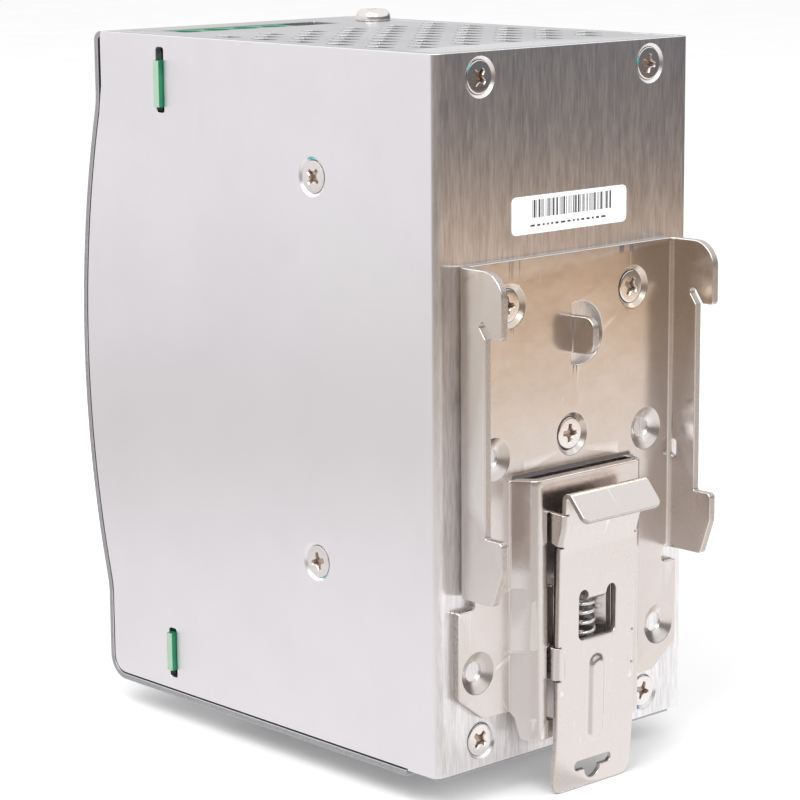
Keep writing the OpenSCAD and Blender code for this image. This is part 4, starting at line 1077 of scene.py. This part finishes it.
def blob(name, material, centre, towards, around, radius, span, seed, wide=0.35):
    """Dab of thread lock on the ring round a screw: an uneven crescent with a domed top."""
    rng = random.Random(seed)
    bm = bmesh.new()
    c, up = Vector(centre), Vector(towards)
    x = Vector(around[0])
    y = Vector(around[1])
    rows = []
    count = 14
    for i in range(count + 1):
        t = i / count
        a = math.radians(span[0] + (span[1] - span[0]) * t)
        fat = wide * math.sin(math.pi * min(max(t, 0.02), 0.98)) ** 0.5 * (0.75 + 0.5 * rng.random())
        row = []
        for j in range(7):
            k = j / 6
            rr = radius + (k - 0.5) * 2 * fat
            lift = 0.13 * math.sin(math.pi * k) * math.sin(math.pi * t) ** 0.4
            row.append(bm.verts.new(at(*(c + (x * math.cos(a) + y * math.sin(a)) * rr + up * (lift - 0.04)))))
        rows.append(row)
    for a, b in zip(rows, rows[1:]):
        for j in range(6):
            bm.faces.new((a[j], b[j], b[j + 1], a[j + 1]))
    body_from(bm, name, material, sharp=70, weighted=False)


# ---------------------------------------------------------------- carried-over CAD nodes

CARRY = {
    "terminal": ["output_terminal_block", "input_terminal_block"],
    "board": ["front_board", "main_board", "control_board"],
    "zinc": ["front_board_bracket"],
    "film_sheet": ["insulating_sheet"],
    "brass": ["board_standoffs", "output_contacts", "input_contacts"],
    "led": ["status_led"],
    "blue": ["trimmer_body"],
    "white": ["trimmer_rotor"],
    "ceramic": ["mains_fuse"],
    "ferrite": ["choke_core", "pfc_core", "transformer_core"],
    "powder": ["output_choke_core"],
    "copper": ["choke_windings", "pfc_winding", "output_choke_winding"],
    "film": ["x_capacitor"],
    "disc": ["y_capacitors"],
    "epoxy": ["bridge_rectifier", "switching_transistors", "output_rectifiers", "control_chips"],
    "sleeve": ["bulk_capacitor", "output_capacitors"],
    "tape": ["transformer_winding"],
    "pad": ["insulating_pads"],
    "sink": ["lower_heat_sink", "upper_heat_sink"],
}


def carry():
    for key, names in CARRY.items():
        for name in names:
            dress(nodes[name], M[key])
    for name, o in nodes.items():
        if name.startswith(("output_screw_", "input_screw_", "output_clamp_", "input_clamp_")):
            dress(o, M["zinc"])


def dress(o, material):
    if not o.material_slots:
        o.data.materials.append(material)
    for s in o.material_slots:
        s.material = material
    weld = o.modifiers.new("weld", "WELD")
    weld.merge_threshold = 1e-6
    bev = o.modifiers.new("round_edges", "BEVEL")
    bev.width = ROUND * MM
    bev.segments = 2
    bev.limit_method = "ANGLE"
    bev.angle_limit = math.radians(40)
    bev.use_clamp_overlap = True
    w = o.modifiers.new("even_normals", "WEIGHTED_NORMAL")
    w.keep_sharp = True


# ---------------------------------------------------------------- studio

def staged(bm, name):
    mesh = bpy.data.meshes.new(name)
    bm.to_mesh(mesh)
    bm.free()
    o = bpy.data.objects.new(name, mesh)
    scene.collection.objects.link(o)
    return o


def make_studio():
    world = bpy.data.worlds.new("studio")
    scene.world = world
    world.use_nodes = True
    bg = world.node_tree.nodes["Background"]
    bg.inputs["Color"].default_value = (1.0, 1.0, 1.0, 1)
    bg.inputs["Strength"].default_value = 1.0

    bm = bmesh.new()
    floor_z = cad_low[2] - 0.0001
    for x, y in ((-9, -9), (9, -9), (9, 9), (-9, 9)):
        bm.verts.new((x, y, floor_z))
    bm.faces.new(bm.verts[:])
    floor = staged(bm, "floor")
    m, n, l, b = new_material("pale_floor")
    soft_noise = noise(n, l, 0.02, 2.0)
    l.new(mix(n, l, ramp(n, l, soft_noise, 0.3, 0.7, 0, 1), (0.93, 0.93, 0.93), (0.95, 0.95, 0.95)),
          b.inputs["Base Color"])
    b.inputs["Roughness"].default_value = 0.9
    b.inputs["Specular IOR Level"].default_value = 0.0
    floor.data.materials.append(m)

    # Surround seen by reflections alone: a disc and a low wall that give off light, in tinted bands of
    # distance that differ by direction. It is not a plain light.
    reach, tall = 1.5, 0.55
    bm = bmesh.new()
    spin = 72
    rings = []
    for r, z in ((0.06, 0.0), (reach, 0.0), (reach, tall)):
        rings.append([bm.verts.new((r * math.cos(a), r * math.sin(a), floor_z + 0.0003 + z))
                      for a in [2 * math.pi * k / spin for k in range(spin)]])
    for a, b in zip(rings, rings[1:]):
        for i in range(spin):
            bm.faces.new((a[i], a[(i + 1) % spin], b[(i + 1) % spin], b[i]))
    bm.faces.new(rings[0])
    room = staged(bm, "room")
    room.visible_camera = False
    room.visible_diffuse = False
    room.visible_shadow = False
    room.visible_transmission = False
    mat = bpy.data.materials.new("room")
    mat.use_nodes = True
    n, l = mat.node_tree.nodes, mat.node_tree.links
    n.remove(n["Principled BSDF"])
    flat = n.new("ShaderNodeCombineXYZ")
    for axis in "XY":
        l.new(axis_of(n, l, "ShaderNodeTexCoord", "Object", axis), flat.inputs[axis])
    length = n.new("ShaderNodeVectorMath")
    length.operation = "LENGTH"
    l.new(flat.outputs[0], length.inputs[0])
    unit = n.new("ShaderNodeVectorMath")
    unit.operation = "NORMALIZE"
    l.new(flat.outputs[0], unit.inputs[0])
    distance = ramp(n, l, length.outputs["Value"], 0.0, reach, 0.0, 1.0)

    def bands(stops):
        r = n.new("ShaderNodeValToRGB")
        l.new(distance, r.inputs["Fac"])
        els = r.color_ramp.elements
        while len(els) > 1:
            els.remove(els[-1])
        els[0].position = stops[0][0] / reach
        els[0].color = (*stops[0][1], 1)
        for d, c in stops[1:]:
            e = els.new(d / reach)
            e.color = (*c, 1)
        return r.outputs["Color"]

    def towards(x, y, low, high):
        v = n.new("ShaderNodeVectorMath")
        v.operation = "DOT_PRODUCT"
        l.new(unit.outputs[0], v.inputs[0])
        v.inputs[1].default_value = (x, y, 0)
        return ramp(n, l, v.outputs["Value"], low, high, 0.0, 1.0)

    side = bands([(0.10, (0.87, 0.86, 0.87)), (0.20, (0.85, 0.835, 0.84)), (0.36, (0.67, 0.645, 0.64)),
                  (0.60, (0.80, 0.79, 0.80)), (1.0, (0.88, 0.87, 0.88))])
    back = bands([(0.10, (0.80, 0.80, 0.81)), (1.0, (0.74, 0.74, 0.76))])
    rear = bands([(0.26, (1.10, 1.08, 1.08)), (0.34, (1.06, 0.95, 0.87)), (0.40, (1.05, 0.93, 0.82)),
                  (0.43, (0.99, 0.84, 0.70)), (0.475, (0.94, 0.76, 0.60)), (0.57, (0.92, 0.67, 0.48)),
                  (0.60, (0.90, 0.61, 0.39)), (0.64, (0.83, 0.54, 0.32)), (0.70, (0.70, 0.46, 0.28)),
                  (0.76, (0.46, 0.35, 0.28)), (0.83, (0.09, 0.09, 0.10)), (1.05, (0.065, 0.065, 0.072)),
                  (1.3, (0.16, 0.16, 0.175))])
    near = bands([(0.12, (0.81, 0.78, 0.76)), (0.30, (0.66, 0.62, 0.58)), (0.36, (0.54, 0.49, 0.455)),
                  (0.42, (0.40, 0.34, 0.31)), (0.67, (0.31, 0.26, 0.23)), (1.2, (0.27, 0.24, 0.22))])
    c = mix(n, l, towards(0.677, -0.736, -0.2, 0.6), back, side)
    c = mix(n, l, towards(-0.677, 0.736, 0.1, 0.6), c, rear)
    c = mix(n, l, towards(0.676, 0.737, 0.66, 0.9), c, near)
    e = n.new("ShaderNodeEmission")
    l.new(c, e.inputs["Color"])
    l.new(e.outputs[0], n["Material Output"].inputs[0])
    room.data.materials.append(mat)

    def lamp(name, where, power):
        d = bpy.data.lights.new(name, "AREA")
        d.shape = "RECTANGLE"
        d.size = d.size_y = 0.7
        d.energy = power
        o = bpy.data.objects.new(name, d)
        o.location = where
        o.rotation_euler = (Vector((0, 0, 0)) - Vector(where)).to_track_quat("-Z", "Y").to_euler()
        scene.collection.objects.link(o)

    lamp("key", (0.9, 0.2, 1.1), 9.0)
    lamp("fill", (0.5, 1.0, 1.1), 6.0)


def make_camera():
    cam = bpy.data.objects.new("camera", bpy.data.cameras.new("camera"))
    scene.collection.objects.link(cam)
    fwd = Vector((-0.66355, -0.72266, -0.19356)).normalized()
    up = Vector((-0.13622, -0.13769, 0.98106))
    up = (up - fwd * up.dot(fwd)).normalized()
    right = fwd.cross(up)
    cam.matrix_world = Matrix(((right.x, up.x, -fwd.x, 0.34679), (right.y, up.y, -fwd.y, 0.32700),
                               (right.z, up.z, -fwd.z, 0.09662), (0, 0, 0, 1)))
    cam.data.lens = 125.05
    cam.data.sensor_width = 36
    scene.camera = cam


scene.view_settings.view_transform = "Standard"
make_camera()
make_chassis()
make_cover()
make_bracket()
make_clip()
make_spring()
make_screws()
make_label()
X, Y, Z = (1, 0, 0), (0, 1, 0), (0, 0, 1)
blob("lock_rear_upper_right", M["lock_teal"], (REAR_X, 0, REAR_HIGH), Y, (X, Z), 3.15, (20, 55), 3, 0.2)
blob("lock_rear_upper_left", M["lock_teal"], (-REAR_X, 0, REAR_HIGH), Y, (X, Z), 3.15, (-5, 25), 4, 0.2)
blob("lock_rear_lower_left", M["lock_blue"], (-REAR_X, 0, REAR_LOW), Y, (X, Z), 3.2, (-70, -40), 5, 0.22)
blob("lock_side_upper", M["lock_teal"], (HALF, SIDE_Y, SIDE_HIGH), X, (Y, Z), 3.2, (72, 112), 6, 0.17)
blob("lock_side_lower", M["lock_teal"], (HALF, SIDE_Y, SIDE_LOW), X, (Y, Z), 3.2, (-62, -28), 7, 0.17)
carry()
make_studio()
